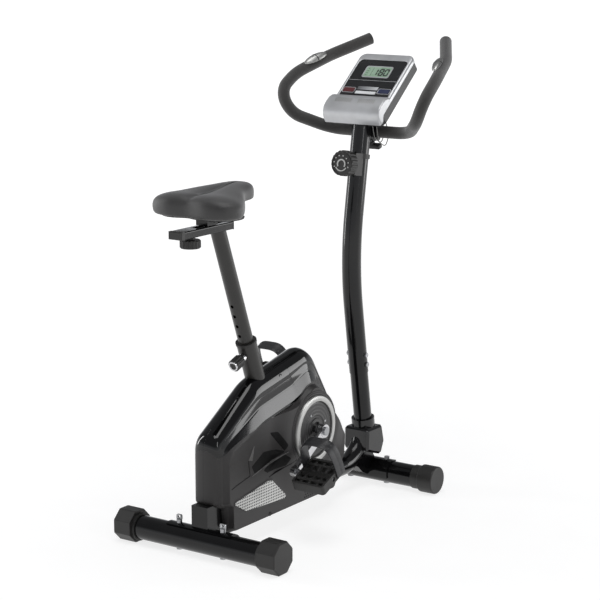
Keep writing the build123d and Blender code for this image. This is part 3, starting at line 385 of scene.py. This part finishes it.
def on_side(name, side, corners, proud, material):
    """Thin moulded shape that lies on the side's surface, given as (y, z, radius) corners."""
    middle = sum((Vector(c[:2]) for c in corners), Vector((0, 0))) / len(corners)
    edge_points = outline(corners, arc=4, run=10)
    rings = []
    for share, lift in ((1.0, -1.5), (1.0, proud - 0.3), (0.97, proud), (0.7, proud), (0.35, proud),
                        (0.02, proud)):
        ring = [middle.lerp(q, share) for q in edge_points]
        rings.append([at(side * (side_x(*q) + lift), *q) for q in ring])
    skin(name, rings, material, "frame")


def crease(a, b, wide):
    """Corners of a straight strip from a to b."""
    a, b = Vector(a), Vector(b)
    across = Vector((a.y - b.y, b.x - a.x)).normalized() * wide / 2
    return [(*(a - across), 0.4), (*(b - across), 0.4), (*(b + across), 0.4), (*(a + across), 0.4)]


# Sculpted rear of each side, drawn as thin plates: near-black painted shade in the recess, the lower recess
# and a leaf-shaped shadow on the bay's rear slope, a pale blade and a pale strip on the ledge top as painted
# highlights, parting grooves round the grille, painted dark as shade, and a panel of small drilled vents
# under the crank.
SHAPES = {
    "recess": ([(-312, 196, 3), (-300, 176, 3), (-250, 186, 8), (-184, 208, 3), (-214, 218, 8),
                (-262, 222, 8)], 0.3, painted_shade_abs),
    "lower_recess": ([(-264, 175, 3), (-246, 165, 3), (-181, 169, 3), (-165, 185, 3), (-190, 202, 6)],
                     0.3, painted_shade_abs),
    "leaf_shadow": ([(-236, 265, 2), (-190, 210, 2), (-176, 221, 6), (-209, 262, 6)], 0.5, painted_shade_abs),
    "blade": ([(-300, 250, 1), (-325, 215, 1), (-309, 211, 1)], 0.6, painted_highlight_abs),
    "ledge": (crease((-310, 172), (-176, 204), 2.4), 0.8, painted_highlight_abs),
    "groove_up": (crease((-325, 215), (-319, 175), 2.4), 0.3, painted_shade_abs),
    "groove_back": (crease((-319, 175), (-374, 164), 2.4), 0.3, painted_shade_abs),
    "groove_low": (crease((-374, 164), (-394, 159), 2.4), 0.3, painted_shade_abs),
    "groove_front": (crease((-240, 152), (-129, 179), 2.4), 0.3, painted_shade_abs),
}
for side, name in ((1, "right"), (-1, "left")):
    for key, (corners, proud, material) in SHAPES.items():
        on_side(f"side_{key}_{name}", side, corners, proud, material)
    # Vents: small near-black discs of painted shade on the surface, standing for the dark inside of each
    # hole.
    points, faces = [], []
    for row in range(7):
        for column in range(15 - row):
            y, z = -84 + 8.6 * column + 4.3 * (row % 2), 60 + 7.0 * row
            if math.hypot(y - BB.x, z - BB.y) < 109:
                continue
            first = len(points)
            for x in (-0.8, 0.3):
                points += [at(side * (side_x(y, z) + x), y + 2.0 * math.cos(math.tau * k / 8),
                              z + 2.0 * math.sin(math.tau * k / 8)) for k in range(8)]
            for k in range(8):
                after = (k + 1) % 8
                faces.append((first + k, first + after, first + 8 + after, first + 8 + k))
            faces += [tuple(first + k for k in range(8)), tuple(first + 8 + k for k in range(8))]
    piece("crank_vents_" + name, points, faces, painted_shade_abs, "frame")


def lathe(name, profile, y, z, side, material, body, steps=96, smooth_deg=35):
    """Turned shape round an X axis: profile is (radius, x) from end to end."""
    turns = [2 * math.pi * k / steps for k in range(steps)]
    rings = [[at(side * x, y + r * math.cos(a), z + r * math.sin(a)) for a in turns] for r, x in profile]
    return skin(name, rings, material, body, cap=False, smooth_deg=smooth_deg)


# ---- Crank ring and round cover ---------------------------------------------------------------
# Silver ring of plated ABS on each side, with a stepped black bead outside it and a grained
# cover disc inside that has pressed arcs round the hub.
plated, tree, shader = start("satin_plated_abs", Metallic=0.75)
mottle(tree, shader, 0.8, ("a9a9a7", "b9b9b7"), (0.34, 0.44), 0.012)
disc_abs, tree, shader = start("satin_black_abs", IOR=1.53)
where, grain, bump = mottle(tree, shader, 1.0, ("1c1b1b", "242323"), (0.32, 0.42), 0.03)
centred = add(tree, "Mapping", {"Vector": (where, "Object"),
                                "Location": (0, -(BB[0] + SHIFT) / 1000, -BB[1] / 1000), "Scale": (0, 1, 1)})
reach = add(tree, "VectorMath", {0: (centred, "Vector")}, operation="LENGTH")
ripple = add(tree, "Math", {0: (reach, "Value"), 1: 2 * math.pi / 0.009}, operation="MULTIPLY")
wave = add(tree, "Math", {0: (ripple, "Value")}, operation="SINE")
pressed = add(tree, "Bump", {"Height": (wave, "Value"), "Strength": 0.5, "Distance": 0.0004,
                             "Normal": (bump, "Normal")})
tree.links.new(pressed.outputs["Normal"], shader.inputs["Normal"])
# Turned profiles: radius, then distance out from the centre line.
RING = [(72.2, 66), (72.2, 73.5), (73.2, 74.6), (76, 75.2), (82, 75.0), (85.4, 73.4), (86.7, 70.5),
        (86.7, 65)]
BEAD = [(88, 65), (88.6, 67.2), (90.5, 68), (93, 67.6), (94, 66.6), (95.5, 67.2), (97.5, 67.4),
        (99, 66.2), (99.5, 65)]
DISC = [(71.6, 65.5), (71.6, 69), (70, 70.4), (66, 71), (44, 71.6), (40, 72.4), (37, 72.4),
        (35, 70.6), (30, 70.4), (28, 72.6), (24, 73.4), (19.5, 73), (19, 66)]
SCREW = [(3.4, 69), (3.4, 72.4), (2.7, 73), (0.2, 73.1)]
for side, name in ((1, "right"), (-1, "left")):
    lathe("trim_ring_" + name, RING, *BB, side, plated, "frame")
    lathe("bay_bead_" + name, BEAD, *BB, side, bay_abs, "frame")
    lathe("hub_cover_" + name, DISC, *BB, side, disc_abs, "frame")
    for y, z in ((-88, 278), (-24, 252)):
        screw = lathe(f"cover_screw_{name}_{y + 88}", SCREW, y, z, side, zinc, "frame", steps=20)
    for key, y, z, x in (("top", -165, 392, 33.4), ("rear", -236, 56, 50.8), ("front", 84, 104, 50.8)):
        # Screw holes: a shallow turned lining, painted near-black for the shade inside each hole.
        lip = [(5.2, x - 8), (5.2, x), (4.4, x + 0.4), (3.6, x - 0.6), (3.4, x - 3), (0.2, x - 3)]
        hole = lathe(f"screw_hole_{key}_{name}", lip, y, z, side, painted_shade_abs, "frame", steps=24)
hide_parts("housing_screws")
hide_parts("trim_rings")
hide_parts("round_covers")

# ---- Grilles ----------------------------------------------------------------------------------
# Silver-painted ABS panels with rows of small round moulded holes, in a shallow black frame. The
# holes are drawn on a 7.2 mm pitch, coarser than real ones, so that they show: each is a near-black
# spot of painted shade, for the dark seen through it, with a slight dent.
perforated, tree, shader = start("silver_perforated_abs", Metallic=0.5)
where, grain, bump = mottle(tree, shader, 0.9, ("bdbdbb", "cfcfcd"), (0.34, 0.45), 0.01)
spot = add(tree, "SeparateXYZ", {"Vector": (where, "Object")})
PITCH_MM = 7.2
cells = []
for axis in ("Y", "Z"):
    scaled = add(tree, "Math", {0: (spot, axis), 1: 1000 / PITCH_MM}, operation="MULTIPLY")
    cell = add(tree, "Math", {0: (scaled, "Value")}, operation="FRACT")
    cells.append(add(tree, "Math", {0: (cell, "Value"), 1: 0.5}, operation="SUBTRACT"))
offset = add(tree, "CombineXYZ", {"X": (cells[0], "Value"), "Y": (cells[1], "Value")})
reach = add(tree, "VectorMath", {0: (offset, "Vector")}, operation="LENGTH")
hole = add(tree, "MapRange", {"Value": (reach, "Value"), "From Min": 0.26, "From Max": 0.33})
# Painted shade: inside each hole the base colour turns near-black, standing for the shade seen through it.
painted_hole_shade = add(tree, "Mix", {"Factor": (hole, "Result"), "A": linear("101010")}, data_type="RGBA")
tree.links.new(shader.inputs["Base Color"].links[0].from_socket, painted_hole_shade.inputs["B"])
tree.links.new(painted_hole_shade.outputs["Result"], shader.inputs["Base Color"])
dimple = add(tree, "Bump", {"Height": (hole, "Result"), "Strength": 0.7, "Distance": 0.0008,
                            "Normal": (bump, "Normal")})
tree.links.new(dimple.outputs["Normal"], shader.inputs["Normal"])
GRILLE = [(-389, 121, 4), (-336, 90, 5), (-158, 80, 6), (-228, 142, 9), (-246, 144, 9)]
for side, name in ((1, "right"), (-1, "left")):
    frame_rings = [[at(side * x, *p) for p in outline(inset(GRILLE, d))]
                   for d, x in ((-4, 50), (-3.2, 51.2), (-1.2, 51.4), (-0.4, 50.4), (0.4, 50.3))]
    skin("grille_frame_" + name, frame_rings, bay_abs, "frame")
    panel_rings = [[at(side * x, *p) for p in outline(inset(GRILLE, d))]
                   for d, x in ((0, 50), (0.3, 51.3), (1.2, 51.9))]
    panel = skin("grille_panel_" + name, panel_rings, perforated, "frame")
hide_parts("grilles")


# ---- Saddle -----------------------------------------------------------------------------------
# Moulded polyurethane foam under a stretched vinyl cover: two broad cheeks with a groove between
# them and a short wide nose. The cover has a pebbled grain about 1.5 mm across and a dull sheen.
vinyl, tree, shader = start("pebbled_vinyl", IOR=1.5, Sheen_Weight=0.25, Sheen_Roughness=0.5)
where, grain, bump = mottle(tree, shader, 30, ("232222", "2b2a2a"), (0.46, 0.56), 0.15)
pebble = add(tree, "TexVoronoi", {"Vector": (where, "Object"), "Scale": 1000 / 2.2}, feature="SMOOTH_F1")
leather = add(tree, "Bump", {"Height": (pebble, "Distance"), "Strength": 0.6, "Distance": 0.0004,
                             "Normal": (bump, "Normal")})
tree.links.new(leather.outputs["Normal"], shader.inputs["Normal"])
PLAN = [(0, -495), (61, -501), (106, -486), (123, -447), (98, -397), (57, -343), (42, -292), (27, -267)]
plan = PLAN + [(0, -260.5)] + [(-x, y) for x, y in reversed(PLAN[1:])]
edge = []
for i, here in enumerate(plan):
    p0, p1, p2, p3 = (Vector(plan[(i + k) % len(plan)]) for k in (-1, 0, 1, 2))
    for k in range(8):
        t = k / 8
        edge.append(0.5 * ((2 * p1) + (p2 - p0) * t + (2 * p0 - 5 * p1 + 4 * p2 - p3) * t * t
                           + (3 * p1 - p0 - 3 * p2 + p3) * t ** 3))
# Share of the way out from the spine, and share of the way up
SECTION = [(0.0, 0), (0.6, 0), (0.9, 0.01), (0.955, 0.04), (0.985, 0.14), (1.0, 0.30), (0.998, 0.46),
           (0.985, 0.58), (0.955, 0.68), (0.90, 0.78), (0.82, 0.86), (0.70, 0.93), (0.55, 0.97),
           (0.4, 0.99), (0.25, 1.0), (0.12, 1.0), (0.03, 1.0)]


def cover_height(x, y, up):
    """Height of the cover: the underside and the top both rise towards the nose."""
    low = 829 + 22 * ease((y + 405) / 75)
    high = 881.5 + 10.5 * ease((y + 440) / 130)
    rear = ease((-y - 300) / 90) * up ** 3
    groove = 5.5 * rear * math.exp(-(x / 12) ** 2)
    cheek = 2.2 * rear * math.exp(-((abs(x) - 60) / 34) ** 2)
    return low + (high - low) * up - groove + cheek


rings = []
for share, up in SECTION:
    ring = []
    for point in edge:
        spine = Vector((0, min(max(point.y, -438), -300)))
        p = spine.lerp(point, share)
        ring.append(at(p.x, p.y, cover_height(p.x, p.y, up)))
    rings.append(ring)
saddle = skin("saddle_cover", rings, vinyl, "saddle", smooth_deg=180)
saddle.modifiers.remove(saddle.modifiers["even_normals"])
soften = saddle.modifiers.new("soften", "SUBSURF")
soften.levels = soften.render_levels = 1
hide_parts("saddle_pad")

# ---- Cranks, pedals and straps ----------------------------------------------------------------
# Forged arms in bright chrome, turning moulded pedals. A ribbed rubber strap, 34 mm wide, arches
# over the toes and is hooked on to both sides of each pedal.
chrome, tree, shader = start("bright_chrome", Metallic=1.0)
mottle(tree, shader, 18, ("c4c4c6", "d2d2d4"), (0.05, 0.12), 0.02)
dress(chrome, "crank_arms")

strap_rubber, tree, shader = start("ribbed_strap_rubber", IOR=1.5)
mottle(tree, shader, 1.5, ("1d1d1f", "29292b"), (0.40, 0.52), 0.06)
TILT = math.radians(24)
CRANK_DY, CRANK_DZ, PEDAL_X = 126, 76, 163
STRAP_HALF, STRAP_RISE, STRAP_FOOT, STRAP_ALONG, STRAP_STEPS = 48.7, 91, -8, 30, 60
for side, name in ((1, "right"), (-1, "left")):
    py, pz = BB[0] - side * CRANK_DY, BB[1] - side * CRANK_DZ
    arch = []
    for k in range(STRAP_STEPS + 1):
        angle = math.pi * (k / STRAP_STEPS)
        arch.append((-STRAP_HALF * math.copysign(abs(math.cos(angle)) ** 0.55, math.cos(angle)),
                     STRAP_FOOT + STRAP_RISE * abs(math.sin(angle)) ** 0.62))
    rings = []
    for k, (x, h) in enumerate(arch):
        a, b = arch[max(k - 1, 0)], arch[min(k + 1, STRAP_STEPS)]
        normal = Vector((-(b[1] - a[1]), b[0] - a[0])).normalized()
        proud = 1.1 if k % 2 else 0.0
        ring = []
        for v, lift in ((-17, 0), (-17, 1.5), (-14, 1.5 + proud), (-4, 1.5 + proud), (-3, 1.5), (3, 1.5),
                        (4, 1.5 + proud), (14, 1.5 + proud), (17, 1.5), (17, 0), (8, -1.6), (-8, -1.6)):
            lx, lz, ly = x + normal.x * lift, h + normal.y * lift, STRAP_ALONG + v
            ring.append(at(side * PEDAL_X + lx, py + ly * math.cos(TILT) - lz * math.sin(TILT),
                           pz + ly * math.sin(TILT) + lz * math.cos(TILT)))
        rings.append(ring)
    strap = skin("toe_strap_band_" + name, rings, strap_rubber, "pedal_" + name, smooth_deg=30)
    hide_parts("toe_strap_" + name)

# ---- Handlebar grips and pulse plates ---------------------------------------------------------
# Closed-cell nitrile foam sleeves, drawn on to the bar: fine open pores and hardly any shine. Each
# hand has a pressed stainless sensor plate on the bar's upper side, with a black band across it.
foam, tree, shader = start("nitrile_foam", IOR=1.45, Sheen_Weight=0.3, Sheen_Roughness=0.6)
where, grain, bump = mottle(tree, shader, 2.0, ("171513", "201e1c"), (0.66, 0.8), 0.12)
pores = add(tree, "TexVoronoi", {"Vector": (where, "Object"), "Scale": 1000 / 1.6})
open_cell = add(tree, "Bump", {"Height": (pores, "Distance"), "Strength": 0.8, "Distance": 0.0004,
                               "Normal": (bump, "Normal")})
tree.links.new(open_cell.outputs["Normal"], shader.inputs["Normal"])
dress(foam, "grips")
plate_steel, tree, shader = start("brushed_stainless", Metallic=1.0)
mottle(tree, shader, 0.7, ("9c9c9a", "b4b4b2"), (0.38, 0.50), 0.01)
PLATE_LOW = 7
for side, name in ((1, "right"), (-1, "left")):
    along = Vector((side * -0.29, 0.90, 0.33)).normalized()
    face = Vector((side * -0.28, -0.36, 0.86))
    face = (face - along * face.dot(along)).normalized()
    across = along.cross(face)
    middle = at(side * 191, 317, 1131)
    for part, reach, wide, high, finish in (("plate", 38, 13.5, 17.6, plate_steel),
                                            ("band", 4.5, 14.2, 18.2, grained)):
        rings = []
        for k in range(13):
            lat = math.pi / 2 * min(k / 12, 0.995)
            long, broad = along * reach * math.cos(lat), across * wide * math.cos(lat)
            rise = face * (PLATE_LOW + (high - PLATE_LOW) * math.sin(lat))
            rings.append([middle + (long * math.cos(a) + broad * math.sin(a) + rise) / 1000
                          for a in (math.tau * j / 40 for j in range(40))])
        made = skin(f"pulse_{part}_{name}", rings, finish, "handlebar", smooth_deg=60)
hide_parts("pulse_plates")

# ---- Knob faces -------------------------------------------------------------------------------
# The tension knob's end has a raised rim and a pale pad-printed arc with dots for its levels. The
# seat pin's knob has a polished end ring, and a chromed collar where it enters the seat tube.
white_ink, tree, shader = start("pad_printed_grey", IOR=1.5)
mottle(tree, shader, 1.0, ("9b9b99", "acacaa"), (0.4, 0.5), 0.004)


def turned_face(name, origin, axis, profile, start_deg, end_deg, material, body, steps=48):
    """Part or all of a turned ring on a knob's end: profile is (radius, height above the end)."""
    side_way = Vector((1, 0, 0))
    up_way = axis.cross(side_way).normalized()
    rings = []
    for r, h in profile:
        turns = [math.radians(start_deg + (end_deg - start_deg) * k / steps) for k in range(steps + 1)]
        rings.append([origin + (side_way * r * math.cos(a) + up_way * r * math.sin(a) + axis * h) / 1000
                      for a in turns])
    full = abs(end_deg - start_deg) >= 359
    return skin(name, rings, material, body, cap=False, smooth_deg=40, close=full)


low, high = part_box("tension_knob")
knob_axis = Vector((0, -1, 0.158)).normalized()
END_SET_IN = 0.0035
knob_end = Vector((0, low.y + END_SET_IN, (low.z + high.z) / 2))
for key, profile, a0, a1, finish in (
        ("rim", [(27.5, 0), (27.5, 1.0), (29.5, 1.0), (30, 0)], 0, 359.9, grained),
        ("arc", [(9.5, 0), (9.5, 0.9), (13, 0.9), (13, 0)], -35, 215, white_ink),
        ("low_arc", [(16.5, 0), (16.5, 0.9), (19, 0.9), (19, 0)], 210, 330, white_ink)):
    turned_face("tension_" + key, knob_end, knob_axis, profile, a0, a1, finish,
                        "tension_knob")
for level in range(8):
    angle = math.radians(-20 + 220 * level / 7)
    spot_at = knob_end + Vector((math.cos(angle) * 22, 0, math.sin(angle) * 22)) / 1000
    dot = turned_face(f"tension_dot_{level}", spot_at, knob_axis, [(0.2, 0.9), (1.7, 0.9), (1.7, 0)],
                      0, 359.9, white_ink, "tension_knob", steps=10)
pin_axis = Vector((0, -1, -0.378)).normalized()
pin_root, PIN_END, PIN_COLLAR = at(0, -253.3, 466), 0.0676, 0.026
END_RING = [(8.5, 0), (9, 1.4), (10.5, 2.0), (12.5, 1.6), (13.2, 0)]
COLLAR = [(9.3, 0), (11.5, 0.6), (11.5, 8), (9.3, 8.6)]
for name, reach, profile, body in (("seat_pin_ring", PIN_END, END_RING, "seat_pin"),
                                   ("seat_pin_collar", PIN_COLLAR, COLLAR, "frame")):
    spot_at = pin_root + pin_axis * reach
    turned_face(name, spot_at, pin_axis, profile, 0, 359.9, chrome, body)

# ---- Wires ------------------------------------------------------------------------------------
# Thin leads with an extruded PVC sheath: two run from the pulse sensors to the console's back, and
# the brake's runs down inside the post.
sheath, tree, shader = start("grey_pvc_sheath", IOR=1.5)
mottle(tree, shader, 3.0, ("6e6d6b", "7b7a78"), (0.35, 0.5), 0.03)
dress(sheath, "cables")


# ---- Console ----------------------------------------------------------------------------------
# Two ABS mouldings clamped round a printed panel: a silver-painted front rim and cover, and a
# black back. The window is a reflective liquid-crystal cell behind clear acrylic.
LEAN, FACE_Y, FACE_Z = math.radians(50.6), 195, 1003


def on_face(x, y, h):
    """A point on the console: across, up its face and out from it."""
    return at(x, FACE_Y + y * math.sin(LEAN) - h * math.cos(LEAN),
              FACE_Z + y * math.cos(LEAN) + h * math.sin(LEAN))


silver, tree, shader = start("silver_painted_abs", Metallic=0.55)
mottle(tree, shader, 0.6, ("b2b3b5", "c0c1c3"), (0.30, 0.38), 0.01)
back_abs, tree, shader = start("black_abs_grained", IOR=1.53)
mottle(tree, shader, 1.0, ("1a1a1b", "222223"), (0.35, 0.48), 0.04)
dress(back_abs, "console_back")
panel_film, tree, shader = start("printed_polycarbonate_film", IOR=1.58)
mottle(tree, shader, 1.2, ("101012", "18181a"), (0.20, 0.30), 0.02)
dress(panel_film, "console_panel")

RIM_OUT = [(-84, 8, 17), (84, 8, 17), (83, 237, 19), (-83, 237, 19)]
RIM_IN = [(-75, 20, 10), (75, 20, 10), (74, 213, 12), (-74, 213, 12)]
steps = [(inset(RIM_OUT, 1.5), -14), (RIM_OUT, -12.5), (RIM_OUT, -6), (inset(RIM_OUT, 1.2), -2.2),
         (inset(RIM_OUT, 3.6), -0.3), (inset(RIM_IN, -2.2), 0), (inset(RIM_IN, -0.8), -0.5), (RIM_IN, -1.6),
         (RIM_IN, -5)]
rings = [[on_face(p.x, p.y, h) for p in outline(c)] for c, h in steps]
rim = skin("console_rim", rings, silver, "frame", cap=False)
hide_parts("console_front")

ROLL = [(-4, -22), (-3, -8), (0, 1), (6, 9), (15, 14.5), (26, 17), (38, 17.5), (52, 16.5), (64, 12),
        (72, 5.5), (76, 0), (70, -6), (44, -7), (24, -8), (14, -14), (6, -22)]
rings = []
for x, grow in ((-87, 0.80), (-86.6, 0.88), (-85.4, 0.95), (-83, 1.0), (-40, 1.0), (0, 1.0), (40, 1.0),
                (83, 1.0), (85.4, 0.95), (86.6, 0.88), (87, 0.80)):
    rings.append([on_face(x, 30 + (y - 30) * grow, (h if h < 0 else h * grow)) for y, h in ROLL])
cover = skin("console_roll", rings, silver, "frame", smooth_deg=50)
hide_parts("console_cover")

# Two groups of ten fine raised ribs along the roll
ROLL_BEND = 0.0035
for group, x0 in (("left", -58), ("right", 12)):
    for step in range(10):
        x = x0 + 5.1 * step
        bar = [(x - 1.1, 34, 0.8), (x + 1.1, 34, 0.8), (x + 1.1, 50, 0.8), (x - 1.1, 50, 0.8)]
        rings = [[on_face(p.x, p.y, h - ROLL_BEND * (p.y - 38) ** 2)
                  for p in outline(inset(bar, d), arc=3, run=4)]
                 for d, h in ((0, 16.4), (0, 17.9), (0.4, 18.4))]
        skin(f"roll_rib_{group}_{step}", rings, plated, "frame")


def face_plate(name, corners, low, high, material, body="frame", soft=0.6):
    """Flat moulding on the console's face, with a softened upper edge."""
    rings = [[on_face(p.x, p.y, h) for p in outline(inset(corners, d), arc=5, run=2)]
             for d, h in ((0, low), (0, high - soft), (soft * 0.3, high - soft * 0.3), (soft, high))]
    return skin(name, rings, material, body)


def box_corners(x, y, w, h, r):
    return [(x - w / 2, y - h / 2, r), (x + w / 2, y - h / 2, r),
            (x + w / 2, y + h / 2, r), (x - w / 2, y + h / 2, r)]


def moulded_lip(name, x, y, w, h, steps):
    """Raised silver lip round an opening in the panel: steps are (growth, height)."""
    rings = [[on_face(p.x, p.y, top)
              for p in outline(box_corners(x, y, w + 2 * g, h + 2 * g, 3 + g), arc=5, run=2)]
             for g, top in steps]
    skin(name, rings, silver, "frame", cap=False)


lcd_glass, tree, shader = start("liquid_crystal_cell", IOR=1.5, Coat_Weight=0.8, Coat_Roughness=0.05)
mottle(tree, shader, 0.8, ("86a08a", "93ad97"), (0.25, 0.3), 0.004)
dress(lcd_glass, "lcd")
ink, tree, shader = start("black_crystal_segment", IOR=1.5)
mottle(tree, shader, 0.8, ("050606", "0a0b0c"), (0.3, 0.35), 0.004)
WINDOW_Y, WINDOW_W, WINDOW_H = 168, 76, 36
moulded_lip("display_bezel", 0, WINDOW_Y, WINDOW_W, WINDOW_H,
            ((0.1, -2), (0.1, -0.6), (1, -0.3), (3.2, -0.5), (3.4, -1.6)))

# Segments of a digit: centre across and up, then width and height
SEGMENTS = {"a": (0, 11, 11.5, 4.4), "b": (5.2, 5.4, 4.2, 9), "c": (5.2, -5.4, 4.2, 9),
            "d": (0, -11, 11.5, 4.4), "e": (-5.2, -5.4, 4.2, 9), "f": (-5.2, 5.4, 4.2, 9), "g": (0, 0, 8, 4)}


def print_mark(name, x, y, w, h, r, ink_material, low=-1.3, high=-0.8):
    """One printed or lit mark on the panel."""
    face_plate(name, box_corners(x, y, w, h, r), low, high, ink_material, soft=0.1)


for place, (x0, lit) in enumerate(((-6, "bc"), (12, "abcdefg"), (28, "abcdef"))):
    for key in lit:
        dx, dy, w, h = SEGMENTS[key]
        print_mark(f"digit_{place}_{key}", x0 + dx, WINDOW_Y - 1 + dy, w, h, 0.6, ink, high=-0.75)
print_mark("display_rule", -17, WINDOW_Y, 0.9, 31, 0.2, ink)
for row in range(4):
    print_mark(f"display_mark_{row}", -31, 156 + 8 * row, 5, 1.6, 0.4, ink)
print_mark("panel_rule", 0, 136, 146, 1.4, 0.4, silver, -1.8, -1.2)

maroon, tree, shader = start("maroon_silicone", IOR=1.45)
mottle(tree, shader, 1.0, ("4a1c20", "5a2226"), (0.4, 0.5), 0.03)
navy, tree, shader = start("navy_silicone", IOR=1.45)
mottle(tree, shader, 1.0, ("1e2440", "262d4e"), (0.4, 0.5), 0.03)
label_ink, tree, shader = start("screen_printed_label", IOR=1.5)
mottle(tree, shader, 1.0, ("c2c4c6", "d8dadb"), (0.35, 0.45), 0.004)
BUTTON_X, BUTTON_Y, BUTTON_W, BUTTON_H = 54, 98, 34, 15
for x, name, rubber in ((-BUTTON_X, "left", maroon), (BUTTON_X, "right", navy)):
    cap_piece = face_plate("button_cap_" + name, box_corners(x, BUTTON_Y, BUTTON_W, BUTTON_H, 3),
                           -2.6, 0.8, rubber, "button_" + name, soft=1.2)
    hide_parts("button_" + name)
    moulded_lip("button_surround_" + name, x, BUTTON_Y, BUTTON_W + 1, BUTTON_H + 1,
                ((0, -2), (0, -0.8), (0.6, -0.5), (1.8, -0.6), (2, -1.6)))
graded_print, tree, shader = start("graded_screen_print", Roughness=0.35, IOR=1.5)
where = add(tree, "TexCoord")
spot = add(tree, "SeparateXYZ", {"Vector": (where, "Object")})
share = add(tree, "MapRange", {"Value": (spot, "X"), "From Min": -0.032, "From Max": 0.032})
tone = add(tree, "ValToRGB", {"Fac": (share, "Result")})
tone.color_ramp.elements[0].color = linear("4c4d50")
tone.color_ramp.elements[1].color = linear("b4b6b8")
tree.links.new(tone.outputs["Color"], shader.inputs["Base Color"])
print_mark("label_grey", 0, 107, 62, 12, 1.5, graded_print, low=-1.8, high=-1.25)
print_mark("label_white", 0, 91, 62, 10, 1.5, label_ink, -1.8, -1.2)
